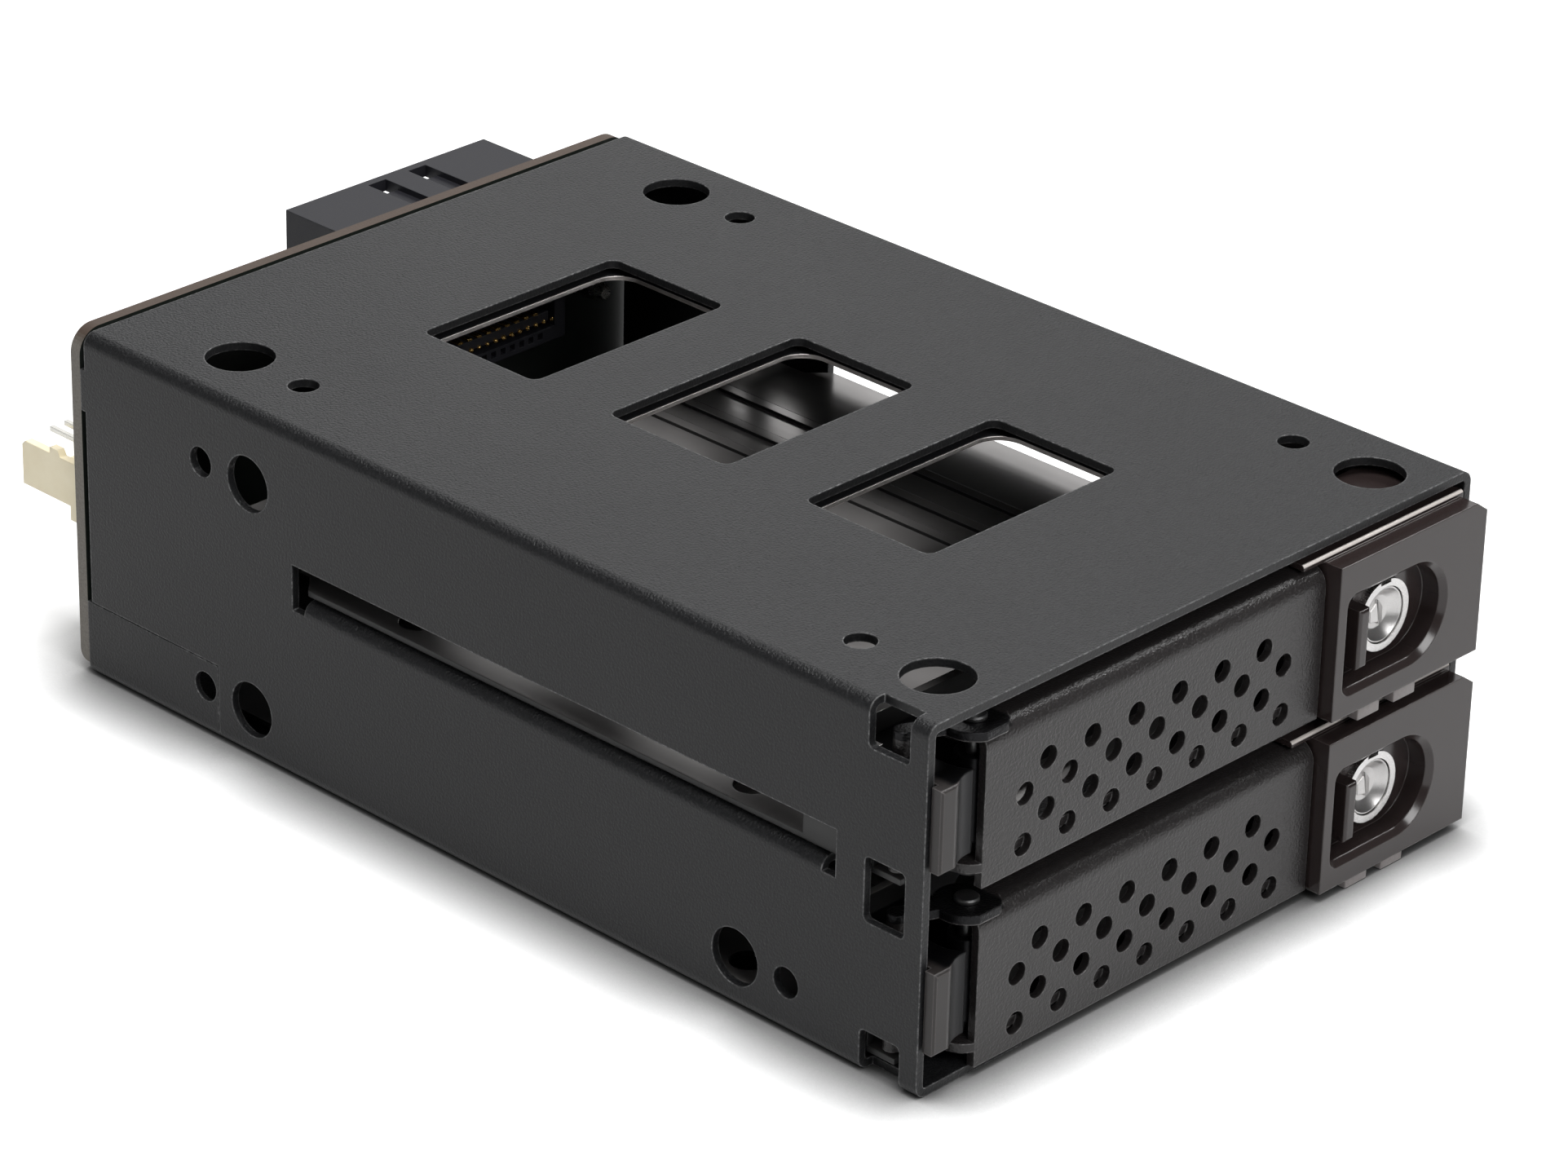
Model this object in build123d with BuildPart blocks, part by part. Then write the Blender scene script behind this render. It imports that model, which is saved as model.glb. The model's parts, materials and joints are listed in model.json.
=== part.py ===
"""Hot swap drive cage for two drives: a folded sheet cage with a rear board and two sliding trays.

Frame: X to the right seen from the front, Y to the back, Z up, in millimetres.
The origin is the middle of the base, on its underside.
Each tray has a perforated lever that swings on a pin at its left end, a sprung finger latch and
a key lock in a bezel at its right end.
"""

from build123d import *
from math import asin, atan2, cos, degrees, hypot, radians, sqrt
import os

# Cage shell, folded from one sheet
cage_width = 101.6
cage_height = 50.8
cage_length = 152.0
sheet = 1.2
bend_radius = 1.8
return_width = 19.0

# Base plate, joggled over the return flanges of the shell
plate = 0.8
plate_gap = 0.2
lap_width = 9.0
base_setback = 8.0
ear_length = 25.6
ear_height = 11.1
seam = 0.15
rivet_radius = 1.2
rivet_head_radius = 2.1
rivet_rows = 3
rivet_margin = 12.0

# Holes in the shell
big_hole_radius = 4.67
small_hole_radius = 2.1
side_big_radius = 3.93
top_hole_inset = 10.4
top_big_front = 8.2
top_small_front = 20.8
top_small_to_rear = 31.8
top_big_to_rear = 19.4
side_hole_low_z = 7.2
side_hole_drop = 10.6
side_small_front = 21.9
side_big_front = 30.6
side_big_to_rear = 32.3
side_small_to_rear = 23.1

# Windows in the top
window_width = 35.4
window_length = 21.4
window_corner = 1.5
window_pitch = 35.0
window_first = 41.4
window_count = 3

# Shelf slots in both sides, with the shelf bent inwards from the lower edge
shelf_rise = 1.4
shelf_width = 4.2
slot_front = 14.2
slot_to_rear = 40.7
slot_height = 4.8
slot_relief = 2.3

# Openings beside the claws of the levers, near the front of the left side
claw_slot_front = 2.9
claw_slot_rear = 9.5
claw_slot_corner = 0.8
claw_slot_wrap = 2.6
claw_slot_top_drop = 6.2
claw_slot_mid_below = 5.9
claw_slot_mid_above = 3.0
claw_slot_bottom_above = 4.0

# Plate under the windows
inner_plate = 0.6
inner_plate_drop = 1.0
inner_plate_width = 58.0
inner_plate_front = 24.0
inner_plate_to_rear = 23.4
inner_window_width = 37.4
inner_window_corner = 4.0
pad_radius = 3.2
pad_x = 23.6
pad_taper = 30

# Rear board and what it carries
board_gap = 0.9
board = 1.8
board_corner = 3.5
tab_height = 6.0
tab_reach = 10.4
tab_high_drop = 11.3
tab_low_z = 2.6
tab_hole_inset = 6.6
screw_radius = 1.45
screw_play = 0.05
screw_length = 4.2
screw_head_radius = 2.8
screw_head = 1.8
screw_head_taper = 12
screw_slot = 0.8

# Data connector on the back of the board
data_width = 37.6
data_height = 9.0
data_depth = 10.9
data_x = 15.8
data_drop = 0.4
data_wall = 1.8
data_tongue = 1.2
data_tongue_width = 27.0
data_tongue_reach = 8.0
key_slot_width = 3.3
key_slot_first = 3.0
key_slot_pitch = 7.6
key_slot_depth = 0.9
key_window = 2.4
key_margin = 1.3

# Power header on the back of the board, with four pins; heights are above its lowest edge
power_left = 1.0
power_pitch = 2.5
power_pins_count = 4
power_margin = 1.2
power_wall = 1.2
power_drop = 4.0
power_shroud_low = 2.1
power_shroud_high = 8.6
power_base_height = 12.4
power_base = 1.3
power_foot = 2.4
power_reach = 12.2
power_lip = 0.6
power_latch_from = 4.8
power_latch_to = 6.4
power_latch_rise = 0.9
power_latch_ramp = 0.5
pin_size = 0.64
pin_reach = 8.0
pin_height = 11.2

# Drive connectors on the front of the board, one for each bay
drive_x_low = -14.0
drive_x_high = 28.0
drive_depth = 10.0
drive_low = 2.6
drive_high = 10.6
drive_slot_width = 38.0
drive_slot_height = 3.8
drive_slot_depth = 7.0
drive_tongue = 1.4
drive_tongue_width = 35.4
contact_width = 0.8
contact_thickness = 0.35
contact_length = 5.6
contact_pitch = 1.8
contact_count = 18
cavity_size = 1.0
cavity_depth = 1.2
cavity_inset = 1.2
cavity_count = 19
guide_inset = 14.8
guide_radius = 1.6
guide_reach = 11.0
guide_tip = 2.0
guide_taper = 20

# Trays: heights below are measured from the underside of the tray's floor
tray_lift = 0.2
tray_floor = 0.8
tray_side_gap = 0.4
tray_front = 0.6
tray_wide_to_rear = 42.0
tray_narrow = 2.8
tray_to_rear = 18.0
tray_corner = 3.0
rib_places = (21.5, 27.2, 34.2)
rib_width = 1.7
rib_height = 0.5
rib_front = 24.0
rib_to_end = 8.0
drive_hole_x = 30.86
drive_hole_to_end = 7.0
drive_hole_pitch = 76.6
drive_hole_radius = 1.7
port_radius = 2.4
port_inset = 4.2
port_front = 33.8
port_pitch = 60.0
cross_wall_front = 13.6
cross_wall = 1.2
cross_wall_drop = 1.7
cross_window_low = 4.0
cross_window_drop = 3.0
cross_window_left = 9.8
cross_window_right = 5.0
cross_window_corner = 2.4
cheek = 1.0
cheek_front = 9.6
cheek_rear = 21.2
cheek_drop = 3.2

# Lever with the perforated front, and its pin
hinge_inset = 9.4
hinge_y = 2.8
pin_radius = 1.0
pin_play = 0.05
pin_head_radius = 1.6
pin_head = 0.6
pin_head_edge = 0.2
heel_radius = 4.2
lever_face = -1.0
lever_depth = 7.0
lever_low = 1.3
lever_drop = 5.2
lever_skirt = 0.9
lever_bend = 2.6
claw_y = 6.6
claw_radius = 1.2
claw_drop_low = 1.6
claw_drop_high = 3.3
vent_radius = 1.55
vent_low = 2.4
vent_headroom = 7.4
vent_margin_left = 5.4
vent_margin_right = 7.4
vent_columns = 7
vent_rows = 4

# Post beside the lever: its head stops at the front edge of the cage, its scoop clears the heel
lug_radius = 2.3
lug_width = 3.4
post_low = 4.5
post_drop = 4.4
post_face = -2.0
post_stop = -0.25
post_head_reach = 1.0
post_head_width = 2.6
post_scoop_y = -0.5
post_scoop_sag = 0.5
post_clearance = 0.55
post_back = 9.0
post_edge = 0.3

# Latch bezel at the right of the tray
bezel_gap = 0.4
bezel_overhang = 0.2
bezel_width = 29.2
bezel_face = -3.1
bezel_seat = -0.15
bezel_block = 5.0
bezel_wall = 1.4
bezel_low = -0.9
bezel_drop = 4.7
bezel_inner_drop = 4.0
bezel_chamfer_x = 2.1
bezel_chamfer_z = 1.5
bezel_brow = 0.5
lobe_reach = 3.9
lobe_rear = 4.0
lobe_sink = 0.1
pocket_inset_left = 2.4
pocket_inset_right = 7.8
pocket_low = 2.6
pocket_drop = 5.2
pocket_depth = 3.5
pocket_bevel = 0.8
pocket_corner = 1.0

# Finger latch, its spring and its slot in the bezel
tab_inset = 2.4
tab_thickness = 2.0
tab_above = 2.0
tab_below = 2.6
tab_face = -2.8
tab_round = 0.5
latch_travel = 2.0
latch_play = 0.3
bar_reach = 1.8
bar_tail = 0.6
bar_half = 2.2
bar_front = 6.4
bar_rear = 8.4
spring_radius = 1.3
spring_wire = 0.2
spring_turns = 3
spring_y = 10.6
spring_seat_half = 1.7

# Key lock
lock_inset = 8.9
barrel_radius = 4.95
barrel_face = -0.6
barrel_rear = 9.0
barrel_notch = 2.0
rotor_radius = 3.85
rotor_play = 0.06
rotor_set_back = 0.15
dish_radius = 3.2
dish_depth = 0.5
dish_taper = 20
key_long = 5.4
key_short = 1.2
key_deep = 4.0
cam_front = 9.4
cam_thickness = 1.2
cam_reach = 6.0
cam_width = 3.0

# Light pipes under the bezel and the screws that hold the bezel, placed from the bezel's left edge
pipe_width = 4.3
pipe_insets = (7.5, 14.7)
pipe_drop = 1.2
pipe_front = -2.7
pipe_rear = -0.4
spacer_width = 1.0
spacer_drop = 0.8
bezel_screw_insets = (6.0, 21.6)
bezel_screw_y = 10.6
bezel_screw_radius = 0.95
bezel_screw_head_radius = 1.9
bezel_screw_reach = 3.2

# Derived places in the cage
front = -cage_length / 2
back = cage_length / 2
side_outer = cage_width / 2
side_inner = side_outer - sheet
top_inner_z = cage_height - sheet
flange_edge = side_outer - return_width
joggle_x = flange_edge - plate_gap
lap_top = sheet + plate
ear_front = back - ear_length
board_face = back + board_gap
board_rear = board_face + board
bay_height = cage_height / 2
shelf_z = bay_height + shelf_rise
upper_floor_z = shelf_z + tray_lift
lower_floor_z = lap_top + tray_lift
tray_levels = {"upper": upper_floor_z, "lower": lower_floor_z}
slot_rear = cage_length - slot_to_rear
tab_high_z = cage_height - tab_high_drop
data_top_z = cage_height - data_drop
guide_x = side_outer - guide_inset
power_low_z = bay_height - power_drop

# Derived places on the trays
tray_half = side_inner - tray_side_gap
tray_rear = cage_length - tray_to_rear
tray_wide_rear = cage_length - tray_wide_to_rear
hinge_x = hinge_inset - tray_half
hinge_depth = front + hinge_y
claw_x = claw_radius - tray_half
lever_high = bay_height - lever_drop
cross_wall_height = lever_high - cross_wall_drop
cheek_height = lever_high - cheek_drop
post_high = lever_high - post_drop
bezel_right = side_outer - bezel_overhang
bezel_left = bezel_right - bezel_width
lever_right = bezel_left - bezel_gap
bezel_high = bay_height - bezel_drop
bezel_inner_high = bay_height - bezel_inner_drop
lobe_low = bezel_high - lobe_sink
pocket_left = bezel_left + pocket_inset_left
pocket_right = bezel_right - pocket_inset_right
pocket_high = bezel_high - pocket_drop
lock_height = (pocket_low + pocket_high) / 2
lock_x = pocket_right - lock_inset
tab_left = pocket_left + tab_inset
tab_right = tab_left + tab_thickness
tab_low = pocket_low + tab_above
tab_high = pocket_high - tab_below
bar_left = bezel_left - bar_reach
bar_right = tab_right + bar_tail
bar_low = lock_height - bar_half
bar_high = lock_height + bar_half
pipe_places = [bezel_left + inset for inset in pipe_insets]
bezel_screw_places = [bezel_left + inset for inset in bezel_screw_insets]
screw_y = front + bezel_screw_y

written = []


def facing(y):
    """Plane across the cage at depth y, local x to the right and local y up. It faces the front."""
    return Plane.XZ.offset(-y)


def finish(part, label):
    part.label = label
    written.append(part)


def side_hole_places():
    """Depth, height and radius of each hole in the sides."""
    return (
        (side_small_front, side_hole_low_z, small_hole_radius),
        (side_big_front, side_hole_low_z, side_big_radius),
        (cage_length - side_big_to_rear, side_hole_low_z, side_big_radius),
        (cage_length - side_small_to_rear, side_hole_low_z, small_hole_radius),
        (cage_length - side_big_to_rear, cage_height - side_hole_drop, side_big_radius),
        (cage_length - side_small_to_rear, cage_height - side_hole_drop, small_hole_radius),
    )


def cage_shell():
    """Top, sides and return flanges, folded from one sheet."""
    with BuildPart() as shell:
        with BuildSketch(facing(front)):
            with Locations((0, cage_height / 2)):
                RectangleRounded(cage_width, cage_height, bend_radius)
                RectangleRounded(
                    cage_width - 2 * sheet, cage_height - 2 * sheet, bend_radius - sheet, mode=Mode.SUBTRACT
                )
            Rectangle(2 * flange_edge, 4 * sheet, mode=Mode.SUBTRACT)
        extrude(amount=-cage_length)
        # room for the ears of the base plate
        with BuildSketch(Plane.YZ):
            with Locations((back - ear_length / 2 - seam / 2, 0)):
                Rectangle(ear_length + seam, 2 * (ear_height + seam))
        extrude(amount=cage_width, both=True, mode=Mode.SUBTRACT)
        # screw tabs that reach back to the board
        for side in (-1, 1):
            with BuildSketch(Plane.XY.offset(tab_high_z)):
                with Locations((side * (side_outer - sheet / 2), back + board_gap / 2)):
                    Rectangle(sheet, board_gap)
                with Locations((side * (side_outer - tab_reach / 2), board_face - sheet / 2)):
                    Rectangle(tab_reach, sheet)
            extrude(amount=tab_height)
        # slots, with a shelf bent inwards from the lower edge of each
        with BuildSketch(Plane.YZ):
            slot_z = shelf_z + (slot_height - bend_radius) / 2
            with Locations((front + (slot_front + slot_rear) / 2, slot_z)):
                Rectangle(slot_rear - slot_front, slot_height + bend_radius)
        extrude(amount=cage_width, both=True, mode=Mode.SUBTRACT)
        for side in (-1, 1):
            bend_x = side_outer - bend_radius
            bend_z = shelf_z - bend_radius
            start = 180 if side < 0 else 0
            with BuildSketch(facing(front + slot_front + slot_relief)):
                with BuildLine():
                    outer = CenterArc((side * bend_x, bend_z), bend_radius, start, side * 90)
                    inner = CenterArc((side * bend_x, bend_z), bend_radius - sheet, start, side * 90)
                    Polyline(
                        outer @ 1,
                        (side * (side_outer - shelf_width), shelf_z),
                        (side * (side_outer - shelf_width), shelf_z - sheet),
                        inner @ 1,
                    )
                    Line(outer @ 0, inner @ 0)
                make_face()
            extrude(amount=-(slot_rear - slot_front - 2 * slot_relief))
        # claw openings at the front of the left side; the upper and lower ones wrap round the bends
        with BuildSketch(Plane.YZ.offset(-side_outer - sheet)):
            slot_y = front + (claw_slot_front + claw_slot_rear) / 2
            slot_length = claw_slot_rear - claw_slot_front
            mid_height = claw_slot_mid_above + claw_slot_mid_below
            with Locations((slot_y, cage_height)):
                RectangleRounded(slot_length, 2 * claw_slot_top_drop, claw_slot_corner)
            with Locations((slot_y, upper_floor_z + (claw_slot_mid_above - claw_slot_mid_below) / 2)):
                RectangleRounded(slot_length, mid_height, claw_slot_corner)
            with Locations((slot_y, 0)):
                RectangleRounded(slot_length, 2 * (lower_floor_z + claw_slot_bottom_above), claw_slot_corner)
        extrude(amount=sheet + claw_slot_wrap, mode=Mode.SUBTRACT)
        # round holes in the sides
        with BuildSketch(Plane.YZ):
            for depth, height, radius in side_hole_places():
                with Locations((front + depth, height)):
                    Circle(radius)
        extrude(amount=cage_width, both=True, mode=Mode.SUBTRACT)
        # round holes and windows in the top
        with BuildSketch(Plane.XY.offset(cage_height)):
            for depth, radius in (
                (top_big_front, big_hole_radius),
                (top_small_front, small_hole_radius),
                (cage_length - top_small_to_rear, small_hole_radius),
                (cage_length - top_big_to_rear, big_hole_radius),
            ):
                hole_x = side_outer - top_hole_inset
                with Locations((-hole_x, front + depth), (hole_x, front + depth)):
                    Circle(radius)
            for place in range(window_count):
                with Locations((0, front + window_first + place * window_pitch)):
                    RectangleRounded(window_width, window_length, window_corner)
        extrude(amount=-2 * sheet, mode=Mode.SUBTRACT)
        # screw holes in the tabs
        with BuildSketch(facing(board_face)):
            hole_x = side_outer - tab_hole_inset
            with Locations((-hole_x, tab_high_z + tab_height / 2), (hole_x, tab_high_z + tab_height / 2)):
                Circle(screw_radius + screw_play)
        extrude(amount=2 * sheet, mode=Mode.SUBTRACT)
    finish(shell.part, "cage_shell")


def rivet_spots():
    """Places of the rivets through the laps and the return flanges."""
    first = front + base_setback + rivet_margin
    pitch = (ear_front - rivet_margin - first) / (rivet_rows - 1)
    x = joggle_x + lap_width / 2
    return [(side * x, first + row * pitch) for side in (-1, 1) for row in range(rivet_rows)]


def base_plate():
    """Flat base between the return flanges, with laps over them and ears up the sides at the back."""
    with BuildPart() as base:
        with BuildSketch(facing(front + base_setback)):
            with Locations((0, plate / 2)):
                Rectangle(2 * joggle_x, plate)
            for side in (-1, 1):
                with Locations((side * (joggle_x - plate / 2), lap_top / 2)):
                    Rectangle(plate, lap_top)
                with Locations((side * (joggle_x + lap_width / 2), lap_top - plate / 2)):
                    Rectangle(lap_width, plate)
        extrude(amount=-(cage_length - ear_length - base_setback))
        with BuildSketch(facing(ear_front)):
            with Locations((0, cage_height / 2)):
                RectangleRounded(cage_width, cage_height, bend_radius)
                RectangleRounded(
                    cage_width - 2 * plate, cage_height - 2 * plate, bend_radius - plate, mode=Mode.SUBTRACT
                )
            with Locations((0, ear_height + cage_height / 2)):
                Rectangle(2 * cage_width, cage_height, mode=Mode.SUBTRACT)
        extrude(amount=-(ear_length + board_gap))
        for side in (-1, 1):
            with BuildSketch(Plane.XY.offset(tab_low_z)):
                with Locations((side * (side_outer - tab_reach / 2), board_face - plate / 2)):
                    Rectangle(tab_reach, plate)
            extrude(amount=tab_height)
        with BuildSketch(Plane.YZ):
            with Locations((back - side_small_to_rear, side_hole_low_z)):
                Circle(small_hole_radius)
        extrude(amount=cage_width, both=True, mode=Mode.SUBTRACT)
        with BuildSketch(facing(board_face)):
            hole_x = side_outer - tab_hole_inset
            with Locations((-hole_x, tab_low_z + tab_height / 2), (hole_x, tab_low_z + tab_height / 2)):
                Circle(screw_radius + screw_play)
        extrude(amount=2 * plate, mode=Mode.SUBTRACT)
        with BuildSketch(Plane.XY):
            with Locations(*rivet_spots()):
                Circle(rivet_radius)
        extrude(amount=lap_top, mode=Mode.SUBTRACT)
    finish(base.part, "base_plate")


def rivet_profile(reach):
    """Half section of a countersunk rivet or screw shank along local y, head at the bottom."""
    with BuildLine() as outline:
        Polyline(
            (0, 0),
            (rivet_head_radius, 0),
            (rivet_radius, rivet_head_radius - rivet_radius),
            (rivet_radius, reach),
            (0, reach),
            close=True,
        )
    make_face(outline.edges())


def base_rivets():
    """Countersunk rivets, flush with the underside, through each flange and its lap."""
    with BuildPart() as rivets:
        for x, y in rivet_spots():
            with BuildSketch(Plane(origin=(x, y, 0), x_dir=(1, 0, 0), z_dir=(0, -1, 0))):
                rivet_profile(lap_top)
            revolve(axis=Axis((x, y, 0), (0, 0, 1)))
    finish(rivets.part, "base_rivets")


def seat_rivets(shell):
    """Countersunk seats of the rivets, cut in the return flanges of the shell."""
    with BuildPart() as seated:
        add(shell)
        for x, y in rivet_spots():
            with BuildSketch(Plane(origin=(x, y, 0), x_dir=(1, 0, 0), z_dir=(0, -1, 0))):
                rivet_profile(lap_top)
            revolve(axis=Axis((x, y, 0), (0, 0, 1)), mode=Mode.SUBTRACT)
    return seated.part


def window_plate():
    """Thin plate under the windows. Pads pressed up from it reach the underside of the top."""
    plate_z = top_inner_z - inner_plate_drop - inner_plate
    length = cage_length - inner_plate_to_rear - inner_plate_front
    with BuildPart() as inner:
        with BuildSketch(Plane.XY.offset(plate_z)):
            with Locations((0, front + inner_plate_front + length / 2)):
                Rectangle(inner_plate_width, length)
            for place in range(window_count):
                with Locations((0, front + window_first + place * window_pitch)):
                    RectangleRounded(
                        inner_window_width, window_length, inner_window_corner, mode=Mode.SUBTRACT
                    )
        extrude(amount=inner_plate)
        with BuildSketch(Plane.XY.offset(plate_z + inner_plate)):
            for place in range(window_count):
                y = front + window_first + place * window_pitch
                with Locations((-pad_x, y), (pad_x, y)):
                    Circle(pad_radius)
        extrude(amount=inner_plate_drop, taper=pad_taper)
    finish(inner.part, "window_plate")


def board_screw_places():
    x = side_outer - tab_hole_inset
    heights = (tab_low_z + tab_height / 2, tab_high_z + tab_height / 2)
    return [(side * x, z) for side in (-1, 1) for z in heights]


def rear_board():
    """Circuit board across the whole back of the cage."""
    with BuildPart() as rear:
        with BuildSketch(facing(board_face)):
            with Locations((0, cage_height / 2)):
                RectangleRounded(cage_width, cage_height, board_corner)
            with Locations(*board_screw_places()):
                Circle(screw_radius + screw_play, mode=Mode.SUBTRACT)
        extrude(amount=-board)
    finish(rear.part, "rear_board")


def board_screws():
    """Pan head screws that hold the board to the tabs of the shell and the base."""
    with BuildPart() as screws:
        with BuildSketch(facing(board_rear)):
            with Locations(*board_screw_places()):
                Circle(screw_radius)
        extrude(amount=screw_length)
        with BuildSketch(facing(board_rear)):
            with Locations(*board_screw_places()):
                Circle(screw_head_radius)
        extrude(amount=-screw_head, taper=screw_head_taper)
        with BuildSketch(facing(board_rear + screw_head)):
            with Locations(*board_screw_places()):
                Rectangle(2 * screw_head_radius, screw_slot)
        extrude(amount=screw_head / 2, mode=Mode.SUBTRACT)
    finish(screws.part, "board_screws")


def data_connector():
    """Socket that faces the back, with a contact tongue and two key slots in its top."""
    mid_z = data_top_z - data_height / 2
    far = board_rear + data_depth
    with BuildPart() as socket:
        with BuildSketch(facing(board_rear)):
            with Locations((data_x, mid_z)):
                Rectangle(data_width, data_height)
        extrude(amount=-data_depth)
        with BuildSketch(facing(far)):
            with Locations((data_x, mid_z)):
                Rectangle(data_width - 2 * data_wall, data_height - 2 * data_wall)
        extrude(amount=data_depth - data_wall, mode=Mode.SUBTRACT)
        with BuildSketch(facing(board_rear)):
            with Locations((data_x, mid_z)):
                Rectangle(data_tongue_width, data_tongue)
        extrude(amount=-data_tongue_reach)
        slot_length = data_depth - key_margin
        slot_y = board_rear + slot_length / 2
        slots = [(data_x - key_slot_first + place * key_slot_pitch, slot_y) for place in (0, 1)]
        with BuildSketch(Plane.XY.offset(data_top_z)):
            with Locations(*slots):
                Rectangle(key_slot_width, slot_length)
        extrude(amount=-key_slot_depth, mode=Mode.SUBTRACT)
        windows = [(x, board_rear + slot_length - key_window / 2) for x, y in slots]
        with BuildSketch(Plane.XY.offset(data_top_z)):
            with Locations(*windows):
                Rectangle(key_slot_width, key_window)
        extrude(amount=-2 * data_wall, mode=Mode.SUBTRACT)
    finish(socket.part, "data_connector")


def power_header():
    """Header for a four-way power plug: base, lower wall and two end walls with a latch bump."""
    length = (power_pins_count - 1) * power_pitch + 2 * power_margin + power_wall
    left = -side_outer + power_left
    low = power_low_z + power_shroud_low
    high = power_low_z + power_shroud_high
    with BuildPart() as header:
        with BuildSketch(Plane.YZ.offset(left)):
            with BuildLine():
                Polyline(
                    (board_rear, power_low_z),
                    (board_rear + power_foot, power_low_z),
                    (board_rear + power_foot, low),
                    (board_rear + power_reach, low),
                    (board_rear + power_reach, high - power_lip),
                    (board_rear + power_reach - power_lip, high),
                    (board_rear + power_latch_to, high),
                    (board_rear + power_latch_to, high + power_latch_rise),
                    (board_rear + power_latch_from, high + power_latch_rise),
                    (board_rear + power_latch_from - power_latch_ramp, high),
                    (board_rear + power_base, high),
                    (board_rear + power_base, power_low_z + power_base_height),
                    (board_rear, power_low_z + power_base_height),
                    close=True,
                )
            make_face()
        extrude(amount=length)
        # the plug's space between the end walls, above the lower wall
        with BuildSketch(Plane.YZ.offset(left + power_wall)):
            with Locations((board_rear + power_foot + power_reach, low + power_wall + power_base_height)):
                Rectangle(2 * power_reach, 2 * power_base_height)
        extrude(amount=length - 2 * power_wall, mode=Mode.SUBTRACT)
    finish(header.part, "power_header")


def power_pins():
    """Square pins of the power header."""
    length = (power_pins_count - 1) * power_pitch + 2 * power_margin + power_wall
    middle = -side_outer + power_left + length / 2
    with BuildPart() as pins:
        with BuildSketch(facing(board_rear + power_base)):
            with Locations((middle, power_low_z + pin_height)):
                with GridLocations(power_pitch, power_pitch, power_pins_count, 1):
                    Rectangle(pin_size, pin_size)
        extrude(amount=-(pin_reach - power_base))
    finish(pins.part, "power_pins")


def drive_connector(bay, floor_z):
    """Socket for the drive, with a tongue for the contacts and rows of square cavities."""
    mid_x = (drive_x_low + drive_x_high) / 2
    mid_z = floor_z + (drive_low + drive_high) / 2
    height = drive_high - drive_low
    with BuildPart() as socket:
        with BuildSketch(facing(back - drive_depth)):
            with Locations((mid_x, mid_z)):
                Rectangle(drive_x_high - drive_x_low, height)
        extrude(amount=-(board_face - back + drive_depth))
        with BuildSketch(facing(back - drive_depth)):
            with Locations((mid_x, mid_z)):
                Rectangle(drive_slot_width, drive_slot_height)
                Rectangle(drive_tongue_width, drive_tongue, mode=Mode.SUBTRACT)
        extrude(amount=-drive_slot_depth, mode=Mode.SUBTRACT)
        with BuildSketch(facing(back - drive_depth)):
            with Locations((mid_x, mid_z)):
                with GridLocations(contact_pitch, height - 2 * cavity_inset, cavity_count, 2):
                    Rectangle(cavity_size, cavity_size)
        extrude(amount=-cavity_depth, mode=Mode.SUBTRACT)
    finish(socket.part, "drive_connector_" + bay)


def drive_contacts(bay, floor_z):
    """Gold blades on the upper face of the connector's tongue."""
    mid_x = (drive_x_low + drive_x_high) / 2
    tongue_top = floor_z + (drive_low + drive_high) / 2 + drive_tongue / 2
    with BuildPart() as blades:
        with BuildSketch(Plane.XY.offset(tongue_top)):
            with Locations((mid_x, back - drive_depth + contact_length / 2)):
                with GridLocations(contact_pitch, contact_pitch, contact_count, 1):
                    Rectangle(contact_width, contact_length)
        extrude(amount=contact_thickness)
    finish(blades.part, "drive_contacts_" + bay)


def guide_pins():
    """Pins on the board that centre each tray's drive as it comes in."""
    with BuildPart() as pins:
        for floor_z in tray_levels.values():
            z = floor_z + (drive_low + drive_high) / 2
            with BuildSketch(facing(board_face)):
                with Locations((guide_x, z)):
                    Circle(guide_radius)
            extrude(amount=guide_reach - guide_tip)
            with BuildSketch(facing(board_face - guide_reach + guide_tip)):
                with Locations((guide_x, z)):
                    Circle(guide_radius)
            extrude(amount=guide_tip, taper=guide_taper)
    finish(pins.part, "guide_pins")


def tray_outline():
    """Plan of the tray floor, wide between the sides and narrower where it leads in at the back."""
    narrow = tray_half - tray_narrow
    with BuildLine() as outline:
        Polyline(
            (-tray_half, front + tray_front),
            (tray_half, front + tray_front),
            (tray_half, front + tray_wide_rear),
            (narrow, front + tray_wide_rear + tray_narrow),
            (narrow, front + tray_rear - tray_corner),
            (narrow - tray_corner, front + tray_rear),
            (tray_corner - narrow, front + tray_rear),
            (-narrow, front + tray_rear - tray_corner),
            (-narrow, front + tray_wide_rear + tray_narrow),
            (-tray_half, front + tray_wide_rear),
            close=True,
        )
    make_face(outline.edges())


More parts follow.
